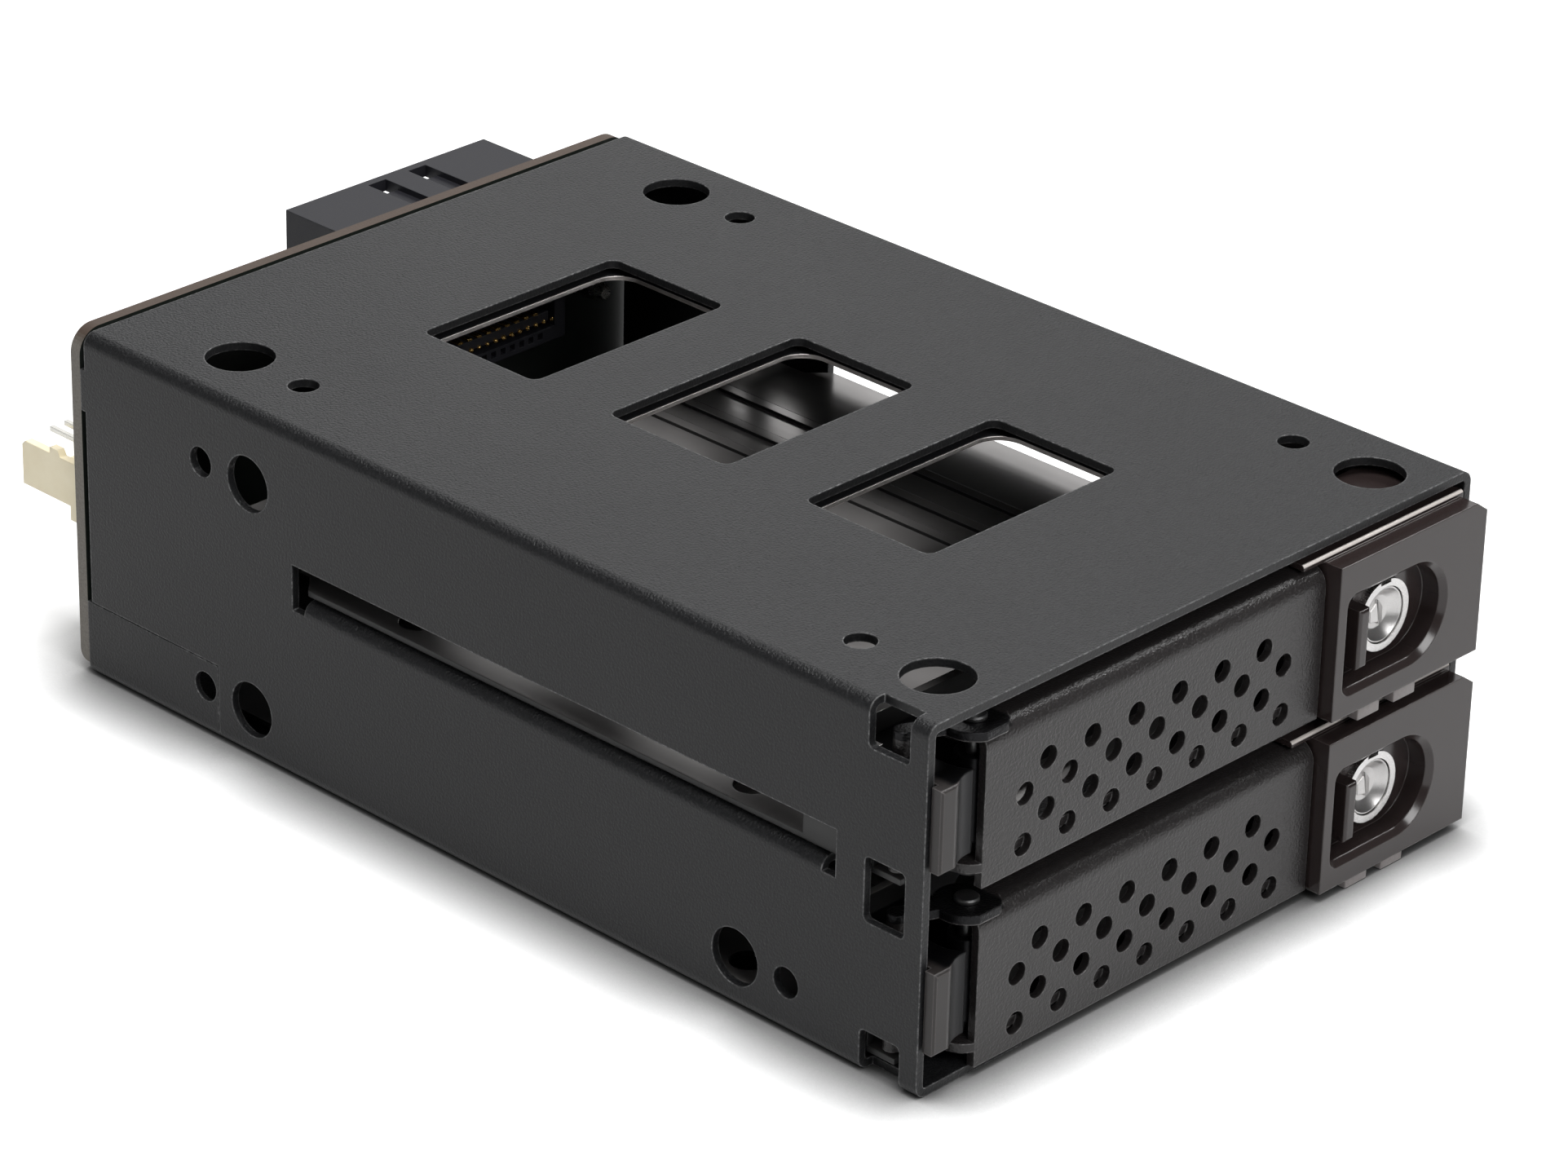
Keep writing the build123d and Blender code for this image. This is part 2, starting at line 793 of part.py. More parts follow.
def tray(bay, floor_z):
    """Tray floor with pressed ribs, a cross wall behind the lever and cheeks at its ends."""
    rib_rear = tray_rear - rib_to_end
    window_left = hinge_x + cross_window_left
    window_right = lever_right - cross_window_right
    window_high = cross_wall_height - cross_window_drop
    with BuildPart() as carrier:
        with BuildSketch(Plane.XY.offset(floor_z)):
            tray_outline()
            # the lever's skirt swings through this corner, round the lug that holds the pin
            with Locations((hinge_x - tray_half / 2, hinge_depth + lug_radius - tray_half / 2)):
                Rectangle(tray_half, tray_half, mode=Mode.SUBTRACT)
            with Locations((hinge_x, hinge_depth)):
                Circle(lug_radius)
                Circle(pin_radius, mode=Mode.SUBTRACT)
        extrude(amount=tray_floor)
        with BuildSketch(Plane.XY.offset(floor_z + tray_floor)):
            for place in rib_places:
                for side in (-1, 1):
                    with Locations((side * place, front + (rib_front + rib_rear) / 2)):
                        SlotOverall(rib_rear - rib_front, rib_width, rotation=90)
        extrude(amount=rib_height)
        # cross wall with its vent
        with BuildSketch(facing(front + cross_wall_front)):
            wall_z = floor_z + (tray_floor + cross_wall_height) / 2
            window_z = floor_z + (cross_window_low + window_high) / 2
            with Locations((0, wall_z)):
                Rectangle(2 * tray_half, cross_wall_height - tray_floor)
            with Locations(((window_left + window_right) / 2, window_z)):
                RectangleRounded(
                    window_right - window_left,
                    window_high - cross_window_low,
                    cross_window_corner,
                    mode=Mode.SUBTRACT,
                )
        extrude(amount=-cross_wall)
        # cheeks at both ends of the cross wall
        for side, start in ((-1, cheek_front), (1, cross_wall_front)):
            with BuildSketch(Plane.XY.offset(floor_z + tray_floor)):
                with Locations((side * (tray_half - cheek / 2), front + (start + cheek_rear) / 2)):
                    Rectangle(cheek, cheek_rear - start)
            extrude(amount=cheek_height - tray_floor)
        # countersunk holes for the drive's screws and the bezel's screws
        holes = [
            (side * drive_hole_x, front + tray_rear - drive_hole_to_end - step * drive_hole_pitch)
            for side in (-1, 1)
            for step in (0, 1)
        ]
        with BuildSketch(Plane.XY.offset(floor_z)):
            with Locations(*holes):
                Circle(drive_hole_radius + tray_floor)
        extrude(amount=tray_floor, taper=45, mode=Mode.SUBTRACT)
        # plain holes near both edges of the floor
        ports = [
            (side * (tray_half - port_inset), front + port_front + step * port_pitch)
            for side in (-1, 1)
            for step in (0, 1)
        ]
        with BuildSketch(Plane.XY.offset(floor_z)):
            with Locations(*ports):
                Circle(port_radius)
        extrude(amount=tray_floor, mode=Mode.SUBTRACT)
        for x in bezel_screw_places:
            with BuildSketch(Plane(origin=(x, screw_y, floor_z), x_dir=(1, 0, 0), z_dir=(0, -1, 0))):
                bezel_screw_profile()
            revolve(axis=Axis((x, screw_y, floor_z), (0, 0, 1)), mode=Mode.SUBTRACT)
    finish(carrier.part, "tray_" + bay)


def bezel_screw_profile():
    """Half section of a bezel screw, also its countersunk seat."""
    neck = bezel_screw_head_radius - bezel_screw_radius
    with BuildLine() as outline:
        Polyline(
            (0, 0),
            (bezel_screw_head_radius, 0),
            (bezel_screw_radius, neck),
            (bezel_screw_radius, bezel_screw_reach),
            (0, bezel_screw_reach),
            close=True,
        )
    make_face(outline.edges())


def bezel_screws(bay, floor_z):
    """Countersunk screws from under the tray floor into the bezel."""
    with BuildPart() as screws:
        for x in bezel_screw_places:
            with BuildSketch(Plane(origin=(x, screw_y, floor_z), x_dir=(1, 0, 0), z_dir=(0, -1, 0))):
                bezel_screw_profile()
            revolve(axis=Axis((x, screw_y, floor_z), (0, 0, 1)))
    finish(screws.part, "bezel_screws_" + bay)


def lever_section():
    """Channel section of the lever in local y (depth) and z: skirt, face, rounded top bend, flanges."""
    face = front + lever_face
    inner = face + sheet
    rear = face + lever_depth
    bend_y = face + lever_bend
    bend_z = lever_high - lever_bend
    with BuildLine() as outline:
        outside = CenterArc((bend_y, bend_z), lever_bend, 180, -90)
        inside = CenterArc((bend_y, bend_z), lever_bend - sheet, 180, -90)
        Polyline(outside @ 1, (rear, lever_high), (rear, lever_high - sheet), inside @ 1)
        Polyline(
            inside @ 0,
            (inner, lever_low + sheet),
            (rear, lever_low + sheet),
            (rear, lever_low),
            (inner, lever_low),
            (inner, -lever_skirt),
            (face, -lever_skirt),
            outside @ 0,
        )
    make_face(outline.edges())


def lever(bay, floor_z):
    """Lever: perforated channel whose flanges run round the pin and end in claws."""
    face_offset = hinge_y - lever_face
    heel_left = hinge_x - sqrt(heel_radius**2 - face_offset**2)
    vent_left = hinge_x + vent_margin_left
    vent_pitch_x = (lever_right - vent_margin_right - vent_left) / (vent_columns - 1)
    vent_pitch_z = (lever_high - vent_headroom - vent_low) / (vent_rows - 1)
    claw_turn = degrees(atan2(claw_y - hinge_y, claw_x - hinge_x))
    claw_span = hypot(claw_x - hinge_x, claw_y - hinge_y)
    arm = ((hinge_x + claw_x) / 2, front + (hinge_y + claw_y) / 2)
    with BuildPart() as lever_body:
        with BuildSketch(Plane(origin=(heel_left, 0, floor_z), x_dir=(0, 1, 0), z_dir=(1, 0, 0))):
            lever_section()
        extrude(amount=lever_right - heel_left)
        # return flange at the right end
        with BuildSketch(Plane.XY.offset(floor_z + lever_low)):
            with Locations((lever_right - sheet / 2, front + lever_face + (lever_bend + lever_depth) / 2)):
                Rectangle(sheet, lever_depth - lever_bend)
            with Locations((lever_right - sheet / 2, front + lever_face + (sheet + lever_bend) / 2)):
                Rectangle(sheet, lever_bend - sheet)
        extrude(amount=lever_high - lever_bend - lever_low)
        # flanges round the pin, with the arms of the claws
        for low, high in ((lever_low, lever_low + sheet), (lever_high - sheet, lever_high)):
            with BuildSketch(Plane.XY.offset(floor_z + low)):
                with Locations((hinge_x, hinge_depth)):
                    Circle(heel_radius)
                with Locations(arm):
                    SlotCenterToCenter(claw_span, 2 * claw_radius, rotation=claw_turn)
                with Locations((hinge_x, front + lever_face - heel_radius)):
                    Rectangle(4 * heel_radius, 2 * heel_radius, mode=Mode.SUBTRACT)
            extrude(amount=high - low)
        # claws
        for low, high in ((lever_low, lever_low + claw_drop_low), (lever_high - claw_drop_high, lever_high)):
            with BuildSketch(Plane.XY.offset(floor_z + low)):
                with Locations((claw_x, front + claw_y)):
                    Circle(claw_radius)
            extrude(amount=high - low)
        # vents in staggered rows
        with BuildSketch(facing(front + lever_face)):
            for row in range(vent_rows):
                odd = row % 2
                for column in range(vent_columns - odd):
                    x = vent_left + (column + odd / 2) * vent_pitch_x
                    with Locations((x, floor_z + vent_low + row * vent_pitch_z)):
                        Circle(vent_radius)
        extrude(amount=-sheet, mode=Mode.SUBTRACT)
        with BuildSketch(Plane.XY.offset(floor_z)):
            with Locations((hinge_x, hinge_depth)):
                Circle(pin_radius + pin_play)
        extrude(amount=lever_high, mode=Mode.SUBTRACT)
    finish(lever_body.part, "lever_" + bay)


def hinge_post(bay, floor_z):
    """Post at the left of the lever, with the lug that the hinge pin passes through."""
    left = -tray_half
    head_left = left - post_head_reach
    face = front + post_face
    stop = front + post_stop
    clear = heel_radius + post_clearance
    scoop_turn = degrees(asin((hinge_y - post_scoop_y) / clear))
    scoop_end = (hinge_x - clear * cos(radians(scoop_turn)), front + post_scoop_y)
    scoop_start = (head_left + post_head_width, face)
    scoop_middle = (
        (scoop_start[0] + scoop_end[0]) / 2,
        (scoop_start[1] + scoop_end[1]) / 2 + post_scoop_sag,
    )
    lug_right = hinge_x + lug_width
    with BuildPart() as post:
        with BuildSketch(Plane.XY.offset(floor_z + post_low)):
            with BuildLine():
                sweep_arc = CenterArc((hinge_x, hinge_depth), clear, 180, scoop_turn)
                ThreePointArc(scoop_start, scoop_middle, sweep_arc @ 1)
                Polyline(
                    sweep_arc @ 0,
                    (hinge_x - clear, front + post_back),
                    (lug_right, front + post_back),
                    (lug_right, front + cross_wall_front),
                    (left + cheek, front + cross_wall_front),
                    (left + cheek, front + cheek_front),
                    (left, front + cheek_front),
                    (left, stop),
                    (head_left, stop),
                    (head_left, face),
                    scoop_start,
                )
            make_face()
            with Locations((hinge_x, hinge_depth)):
                Circle(lug_radius)
            with Locations((hinge_x + lug_width / 2, (hinge_depth + front + post_back) / 2)):
                Rectangle(lug_width, post_back - hinge_y)
            with Locations((hinge_x, hinge_depth)):
                Circle(pin_radius, mode=Mode.SUBTRACT)
        extrude(amount=post_high - post_low)
        face_edges = post.faces().sort_by(Axis.Y)[0].edges()
        chamfer(face_edges, length=post_edge)
    finish(post.part, "hinge_post_" + bay)


def hinge_pin(bay, floor_z):
    """Hinge pin with a low round head on the upper flange of the lever."""
    head_z = floor_z + lever_high + pin_play
    with BuildPart() as pin:
        with BuildSketch(Plane.XY.offset(floor_z)):
            with Locations((hinge_x, hinge_depth)):
                Circle(pin_radius)
        extrude(amount=head_z - floor_z)
        with BuildSketch(Plane.XY.offset(head_z)):
            with Locations((hinge_x, hinge_depth)):
                Circle(pin_head_radius)
        extrude(amount=pin_head)
        chamfer(pin.edges().group_by(Axis.Z)[-1], length=pin_head_edge)
    finish(pin.part, "hinge_pin_" + bay)


def pocket_outline(floor_z):
    """D-shaped outline of the bezel's pocket, nearly square on the left and round on the right."""
    radius = (pocket_high - pocket_low) / 2
    centre_x = pocket_right - radius
    with Locations((pocket_left + radius, floor_z + lock_height)):
        RectangleRounded(2 * radius, 2 * radius, pocket_corner)
    with Locations(((pocket_left + radius + centre_x) / 2, floor_z + lock_height)):
        Rectangle(centre_x - pocket_left - radius, 2 * radius)
    with Locations((centre_x, floor_z + lock_height)):
        Circle(radius)


def latch_bezel(bay, floor_z):
    """Moulded bezel: front plate with the pocket, and a hollow block behind it in the cage."""
    inner_width = tray_half - bezel_left
    inner_x = (tray_half + bezel_left) / 2
    inner_height = bezel_inner_high - tray_floor
    inner_z = floor_z + (bezel_inner_high + tray_floor) / 2
    pocket_y = front + bezel_face + pocket_depth
    with BuildPart() as bezel:
        with BuildSketch(facing(front + bezel_face)):
            with BuildLine():
                Polyline(
                    (bezel_left, floor_z + bezel_low),
                    (bezel_right, floor_z + bezel_low),
                    (bezel_right, floor_z + bezel_high - bezel_chamfer_z),
                    (bezel_right - bezel_chamfer_x, floor_z + bezel_high),
                    (bezel_left, floor_z + bezel_high),
                    close=True,
                )
            make_face()
        extrude(amount=-(bezel_seat - bezel_face))
        # block that fills the right of the cage's mouth, hollow at the back
        with BuildSketch(facing(front + bezel_seat)):
            with Locations((inner_x, inner_z)):
                Rectangle(inner_width, inner_height)
        extrude(amount=-(cross_wall_front - bezel_seat))
        with BuildSketch(facing(front + bezel_block)):
            with Locations((inner_x, inner_z)):
                Rectangle(inner_width - 2 * bezel_wall, inner_height - 2 * bezel_wall)
        extrude(amount=-(cross_wall_front - bezel_block), mode=Mode.SUBTRACT)
        # lobe over the corner of the lever
        with BuildSketch(Plane.XY.offset(floor_z + lobe_low)):
            with Locations((bezel_left - lobe_reach / 2, front + (bezel_seat + lobe_rear) / 2)):
                Rectangle(lobe_reach, lobe_rear - bezel_seat)
            with Locations((bezel_left + bezel_wall / 2, front + (bezel_seat + lobe_rear) / 2)):
                Rectangle(bezel_wall, lobe_rear - bezel_seat)
        extrude(amount=bezel_inner_high - lobe_low)
        # rounded brow over the plate, along the lobe and the block
        brow = bezel.edges().filter_by(Axis.X).group_by(Axis.Z)[-1].group_by(Axis.Y)[0]
        fillet(brow, radius=bezel_brow)
        # spacer between the light pipes
        with BuildSketch(Plane.XY.offset(floor_z + bezel_low)):
            with Locations((sum(pipe_places) / 2, front + (pipe_front + pipe_rear) / 2)):
                Rectangle(spacer_width, (pipe_rear - pipe_front) / 2)
        extrude(amount=-spacer_drop)
        # pocket, its bevelled rim, the bore of the lock and the slot of the finger latch
        with BuildSketch(facing(front + bezel_face)):
            pocket_outline(floor_z)
        extrude(amount=-pocket_depth, mode=Mode.SUBTRACT)
        rim = bezel.faces().sort_by(Axis.Y)[0].inner_wires()[0]
        chamfer(rim.edges(), length=pocket_bevel)
        with BuildSketch(facing(pocket_y)):
            with Locations((lock_x, floor_z + lock_height)):
                Circle(barrel_radius)
            slot_left = tab_left - latch_travel - latch_play
            slot_right = tab_right + latch_play
            with Locations(((slot_left + slot_right) / 2, floor_z + (tab_low + tab_high) / 2)):
                Rectangle(slot_right - slot_left, tab_high - tab_low + 2 * latch_play)
        extrude(amount=-(bezel_block - bezel_face - pocket_depth), mode=Mode.SUBTRACT)
        # window in the left wall for the latch bar
        with BuildSketch(Plane.YZ.offset(bezel_left)):
            with Locations((front + (bar_front + bar_rear) / 2, floor_z + (bar_low + bar_high) / 2)):
                Rectangle(bar_rear - bar_front + 2 * latch_play, bar_high - bar_low + 2 * latch_play)
        extrude(amount=bezel_wall, mode=Mode.SUBTRACT)
        for x in bezel_screw_places:
            with BuildSketch(Plane(origin=(x, screw_y, floor_z), x_dir=(1, 0, 0), z_dir=(0, -1, 0))):
                bezel_screw_profile()
            revolve(axis=Axis((x, screw_y, floor_z), (0, 0, 1)), mode=Mode.SUBTRACT)
    finish(bezel.part, "latch_bezel_" + bay)


def latch_slider(bay, floor_z):
    """Finger latch: tab in the pocket, web through the bezel, and the bar behind the lever."""
    tab_x = tab_left + tab_thickness / 2
    with BuildPart() as slider:
        with BuildSketch(facing(front + tab_face)):
            with Locations((tab_x, floor_z + (tab_low + tab_high) / 2)):
                Rectangle(tab_thickness, tab_high - tab_low)
        extrude(amount=-(bar_rear - tab_face))
        face_edges = slider.faces().sort_by(Axis.Y)[0].edges()
        fillet(face_edges, radius=tab_round)
        with BuildSketch(facing(front + bar_front)):
            with Locations(((bar_left + bar_right) / 2, floor_z + (bar_low + bar_high) / 2)):
                Rectangle(bar_right - bar_left, bar_high - bar_low)
        extrude(amount=-(bar_rear - bar_front))
        with BuildSketch(facing(front + bar_rear)):
            with Locations((tab_x, floor_z + lock_height)):
                Rectangle(tab_thickness, 2 * spring_seat_half)
        extrude(amount=-(spring_y + spring_seat_half - bar_rear))
    finish(slider.part, "latch_slider_" + bay)


def latch_spring(bay, floor_z):
    """Compression spring between the bezel's left wall and the finger latch."""
    start = bezel_left + bezel_wall + spring_wire
    end = tab_left - spring_wire
    pitch = (end - start) / spring_turns
    centre = (start, front + spring_y, floor_z + lock_height)
    with BuildPart() as spring:
        with BuildLine() as path:
            Helix(pitch=pitch, height=end - start, radius=spring_radius, center=centre, direction=(1, 0, 0))
        with BuildSketch(Plane(origin=path.line @ 0, z_dir=path.line % 0)):
            RegularPolygon(spring_wire, 6)
        sweep(is_frenet=True)
    finish(spring.part, "latch_spring_" + bay)


def lock_barrel(bay, floor_z):
    """Fixed barrel of the key lock, a ring round the rotor with a notch at its top."""
    z = floor_z + lock_height
    with BuildPart() as barrel:
        with BuildSketch(facing(front + barrel_face)):
            with Locations((lock_x, z)):
                Circle(barrel_radius)
                Circle(rotor_radius + rotor_play, mode=Mode.SUBTRACT)
        extrude(amount=-(barrel_rear - barrel_face))
        with BuildSketch(facing(front + barrel_face)):
            with Locations((lock_x, z + barrel_radius)):
                Rectangle(barrel_notch, barrel_radius - rotor_radius)
        extrude(amount=-barrel_notch / 2, mode=Mode.SUBTRACT)
    finish(barrel.part, "lock_barrel_" + bay)


def lock_rotor(bay, floor_z):
    """Key rotor with a dished face, a stepped keyway and the cam behind the barrel."""
    z = floor_z + lock_height
    face = front + barrel_face + rotor_set_back
    with BuildPart() as rotor:
        with BuildSketch(facing(face)):
            with Locations((lock_x, z)):
                Circle(rotor_radius)
        extrude(amount=-(front + cam_front - face))
        with BuildSketch(facing(face)):
            with Locations((lock_x, z)):
                Circle(dish_radius)
        extrude(amount=-dish_depth, taper=-dish_taper, mode=Mode.SUBTRACT)
        with BuildSketch(facing(face)):
            with Locations((lock_x, z)):
                Rectangle(key_short, key_long)
            with Locations((lock_x - key_short, z - key_short)):
                Rectangle(key_short, key_short)
            with Locations((lock_x + key_short, z + key_short)):
                Rectangle(key_short, key_short)
        extrude(amount=-key_deep, mode=Mode.SUBTRACT)
        with BuildSketch(facing(front + cam_front)):
            with Locations((lock_x, z)):
                Circle(cam_width)
            with Locations((lock_x + (cam_reach - cam_width / 2) / 2, z)):
                Rectangle(cam_reach - cam_width / 2, cam_width)
            with Locations((lock_x + cam_reach - cam_width / 2, z)):
                Circle(cam_width / 2)
        extrude(amount=-cam_thickness)
    finish(rotor.part, "lock_rotor_" + bay)


def light_pipes(bay, floor_z):
    """Clear pads under the bezel that show the state of the drive."""
    with BuildPart() as pipes:
        with BuildSketch(Plane.XY.offset(floor_z + bezel_low)):
            for x in pipe_places:
                with Locations((x, front + (pipe_front + pipe_rear) / 2)):
                    Rectangle(pipe_width, pipe_rear - pipe_front)
        extrude(amount=-pipe_drop)
        fillet(pipes.edges().group_by(Axis.Z)[0], radius=pipe_drop / 3)
    finish(pipes.part, "light_pipes_" + bay)


cage_shell()
written[0] = seat_rivets(written[0])
written[0].label = "cage_shell"
base_plate()
base_rivets()
window_plate()
rear_board()
board_screws()
data_connector()
power_header()
power_pins()
guide_pins()
for bay_name, level in tray_levels.items():
    drive_connector(bay_name, level)
    drive_contacts(bay_name, level)
    tray(bay_name, level)
    lever(bay_name, level)
    hinge_post(bay_name, level)
    hinge_pin(bay_name, level)
    latch_bezel(bay_name, level)
    latch_slider(bay_name, level)
    latch_spring(bay_name, level)
    lock_barrel(bay_name, level)
    lock_rotor(bay_name, level)
    light_pipes(bay_name, level)
    bezel_screws(bay_name, level)

os.makedirs("parts", exist_ok=True)
for piece in written:
    export_step(piece, f"parts/{piece.label}.step")
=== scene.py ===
"""Looks of the hot swap drive cage: finishes, board details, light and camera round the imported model.

Lengths are in metres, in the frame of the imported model: X right seen from the front, Y back, Z up.
"""

import json
from math import cos, pi, radians, sin

import bmesh
import bpy
from mathutils import Matrix, Vector


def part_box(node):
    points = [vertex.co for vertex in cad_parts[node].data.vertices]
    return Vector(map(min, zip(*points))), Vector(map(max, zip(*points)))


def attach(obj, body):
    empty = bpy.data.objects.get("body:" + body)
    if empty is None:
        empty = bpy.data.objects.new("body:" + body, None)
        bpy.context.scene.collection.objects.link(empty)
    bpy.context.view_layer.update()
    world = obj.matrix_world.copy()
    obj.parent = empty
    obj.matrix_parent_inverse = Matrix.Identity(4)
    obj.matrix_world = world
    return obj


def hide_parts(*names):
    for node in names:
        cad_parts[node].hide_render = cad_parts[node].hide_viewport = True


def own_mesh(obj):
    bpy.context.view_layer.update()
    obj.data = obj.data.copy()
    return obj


MM = 0.001
BAYS = ("upper", "lower")

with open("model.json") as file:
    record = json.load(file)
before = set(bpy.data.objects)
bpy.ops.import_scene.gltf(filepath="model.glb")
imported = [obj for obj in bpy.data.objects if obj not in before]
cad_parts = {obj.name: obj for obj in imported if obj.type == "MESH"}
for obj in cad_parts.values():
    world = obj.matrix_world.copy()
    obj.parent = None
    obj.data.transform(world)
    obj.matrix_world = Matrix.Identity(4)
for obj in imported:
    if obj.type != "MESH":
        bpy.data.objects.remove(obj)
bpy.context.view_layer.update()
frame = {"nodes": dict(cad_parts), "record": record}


# Shader maths

class Wire:
    """A socket of a finish that takes part in Python expressions."""

    def __init__(self, finish, socket):
        self.finish = finish
        self.socket = socket

    def __add__(self, other):
        return self.finish.maths("ADD", self, other)

    def __sub__(self, other):
        return self.finish.maths("SUBTRACT", self, other)

    def __rsub__(self, other):
        return self.finish.maths("SUBTRACT", other, self)

    def __mul__(self, other):
        return self.finish.maths("MULTIPLY", self, other)

    def __pow__(self, other):
        return self.finish.maths("POWER", self, other)

    __radd__ = __add__
    __rmul__ = __mul__


class Finish:
    """One material, built from wires."""

    def __init__(self, name):
        self.material = bpy.data.materials.new(name)
        self.material.use_nodes = True
        self.tree = self.material.node_tree
        self.tree.nodes.clear()

    def node(self, kind, settings, sockets, output=0):
        """Adds a node: its settings first, then the values or wires of its sockets."""
        made = self.tree.nodes.new("ShaderNode" + kind)
        for key, value in settings.items():
            if key == "stops":
                ramp = made.color_ramp.elements
                while len(ramp) < len(value):
                    ramp.new(1.0)
                for stop, (position, shade) in zip(ramp, value):
                    stop.position = position
                    stop.color = (shade, shade, shade, 1)
            else:
                setattr(made, key, value)
        for key, value in sockets.items():
            if isinstance(value, Wire):
                self.tree.links.new(value.socket, made.inputs[key])
            else:
                made.inputs[key].default_value = value
        return Wire(self, made.outputs[output])

    def maths(self, operation, *values, clamp=False):
        settings = {"operation": operation, "use_clamp": clamp}
        return self.node("Math", settings, dict(enumerate(values)))

    def place(self):
        """Object coordinates, which every pattern follows."""
        return self.node("TexCoord", {}, {}, output="Object")

    def grain(self, size, detail=2.0, roughness=0.5, stretch=(1, 1, 1)):
        """Noise from 0 to 1 with patches of the given size, drawn out along the axes by stretch."""
        scale = [1 / (size * length) for length in stretch]
        where = self.node("Mapping", {}, {"Vector": self.place(), "Scale": scale})
        return self.node("TexNoise", {}, {
            "Vector": where, "Scale": 1.0, "Detail": detail, "Roughness": roughness,
        })

    def ramp(self, value, *stops):
        return self.node("ValToRGB", {"stops": stops}, {"Fac": value})

    def blend(self, factor, dark, light):
        """Colour between two others."""
        sockets = {0: factor, 6: shade(dark), 7: shade(light)}
        return self.node("Mix", {"data_type": "RGBA"}, sockets, output=2)

    def soft_edges(self, radius):
        """Normal that rounds the sharp edges of a folded or cut sheet."""
        return self.node("Bevel", {"samples": 6}, {"Radius": radius})

    def level(self, axis, low=0.3, high=0.8):
        """1 on faces square to an axis and 0 on faces along it."""
        flat = self.node("NewGeometry", {}, {}, output="True Normal")
        along = self.node("SeparateXYZ", {}, {"Vector": flat}, output=axis)
        return self.ramp(self.maths("ABSOLUTE", along), (low, 0.0), (high, 1.0))

    def dot(self, first, second):
        return self.node("VectorMath", {"operation": "DOT_PRODUCT"}, {0: first, 1: second}, output="Value")

    def facing(self, direction, low, high):
        """1 on faces that look along a direction, 0 on faces turned away from it."""
        flat = self.node("NewGeometry", {}, {}, output="True Normal")
        return self.ramp(self.dot(flat, direction), (low, 0.0), (high, 1.0))

    def beyond(self, axis, start, fade):
        """0 before a place on an axis and 1 from a fade's width after it."""
        along = self.node("SeparateXYZ", {}, {"Vector": self.place()}, output=axis)
        return self.maths("MULTIPLY", along - start, 1 / fade, clamp=True)

    def edge_mask(self, rounded, gain):
        """1 on sharp edges and 0 on flats."""
        flat = self.node("NewGeometry", {}, {}, output="Normal")
        return self.maths("MULTIPLY", 1 - self.dot(rounded, flat), gain, clamp=True)

    def worn_and_highlit_edges(self, rounded, gain, patch):
        """Sharp edges of a coat made lighter in patches of the given size: partly wear of the coat, partly
        painted highlight.
        """
        worn = self.ramp(self.grain(patch, detail=3.0), (0.45, 0.0), (0.65, 1.0))
        return self.edge_mask(rounded, gain) * (0.25 + 0.75 * worn)

    def bump(self, height, depth, under=None):
        """Relief of a pattern, over the rounded normal where one is given."""
        sockets = {"Height": height, "Distance": depth, "Strength": 1.0}
        if under:
            sockets["Normal"] = under
        return self.node("Bump", {}, sockets)

    def close(self, **sockets):
        """Ends the material with one Principled shader."""
        named = {key.replace("_", " "): value for key, value in sockets.items()}
        surface = self.node("BsdfPrincipled", {}, named)
        end = self.tree.nodes.new("ShaderNodeOutputMaterial")
        self.tree.links.new(surface.socket, end.inputs["Surface"])
        return self.material


def shade(colour):
    """Three numbers as a colour with full alpha. A wire stays as it is."""
    if isinstance(colour, (tuple, list)) and len(colour) == 3:
        return (*colour, 1)
    return colour


# Finishes

LUG_END_X = -36.9 * MM  # the lever's lugs, which get painted shade, reach from its left end to here
LUG_THICKNESS = 1.1 * MM  # measured down from the top of a lever
BROW_HEIGHT = 1.6 * MM  # measured down from the top of a bezel, the band of painted highlight
BEND_NORMAL = (0, -0.64, 0.77)  # middle of the bend between front and top, where painted highlights go
PAD_BACK_Y = -77.6 * MM  # the pad of a post ends here and the painted shade on its body begins
PAD_LEFT_X = -48.5 * MM


def powder_coat():
    """Fine textured satin coat of the cage shell and its base."""
    coat = Finish("powder_coat_satin")
    rounded = coat.soft_edges(0.35 * MM)
    drift = coat.grain(22 * MM)
    pimple = coat.grain(0.36 * MM, detail=2.0)
    relief = pimple * (0.4 + 0.6 * coat.level("Z"))
    speck = coat.ramp(pimple, (0.35, 0.0), (0.65, 1.0))
    body = coat.blend(speck * 0.7 + drift * 0.3, (0.0070, 0.0072, 0.0080), (0.0155, 0.0157, 0.0166))
    return coat.close(
        # Sharp edges are painted lighter: partly worn coat, partly painted highlight.
        Base_Color=coat.blend(coat.worn_and_highlit_edges(rounded, 6.0, 0.5 * MM), body, (0.26, 0.26, 0.262)),
        Roughness=0.38 + 0.08 * drift,
        Specular_IOR_Level=0.30,
        Normal=coat.bump(relief, 0.18 * MM, rounded),
    )


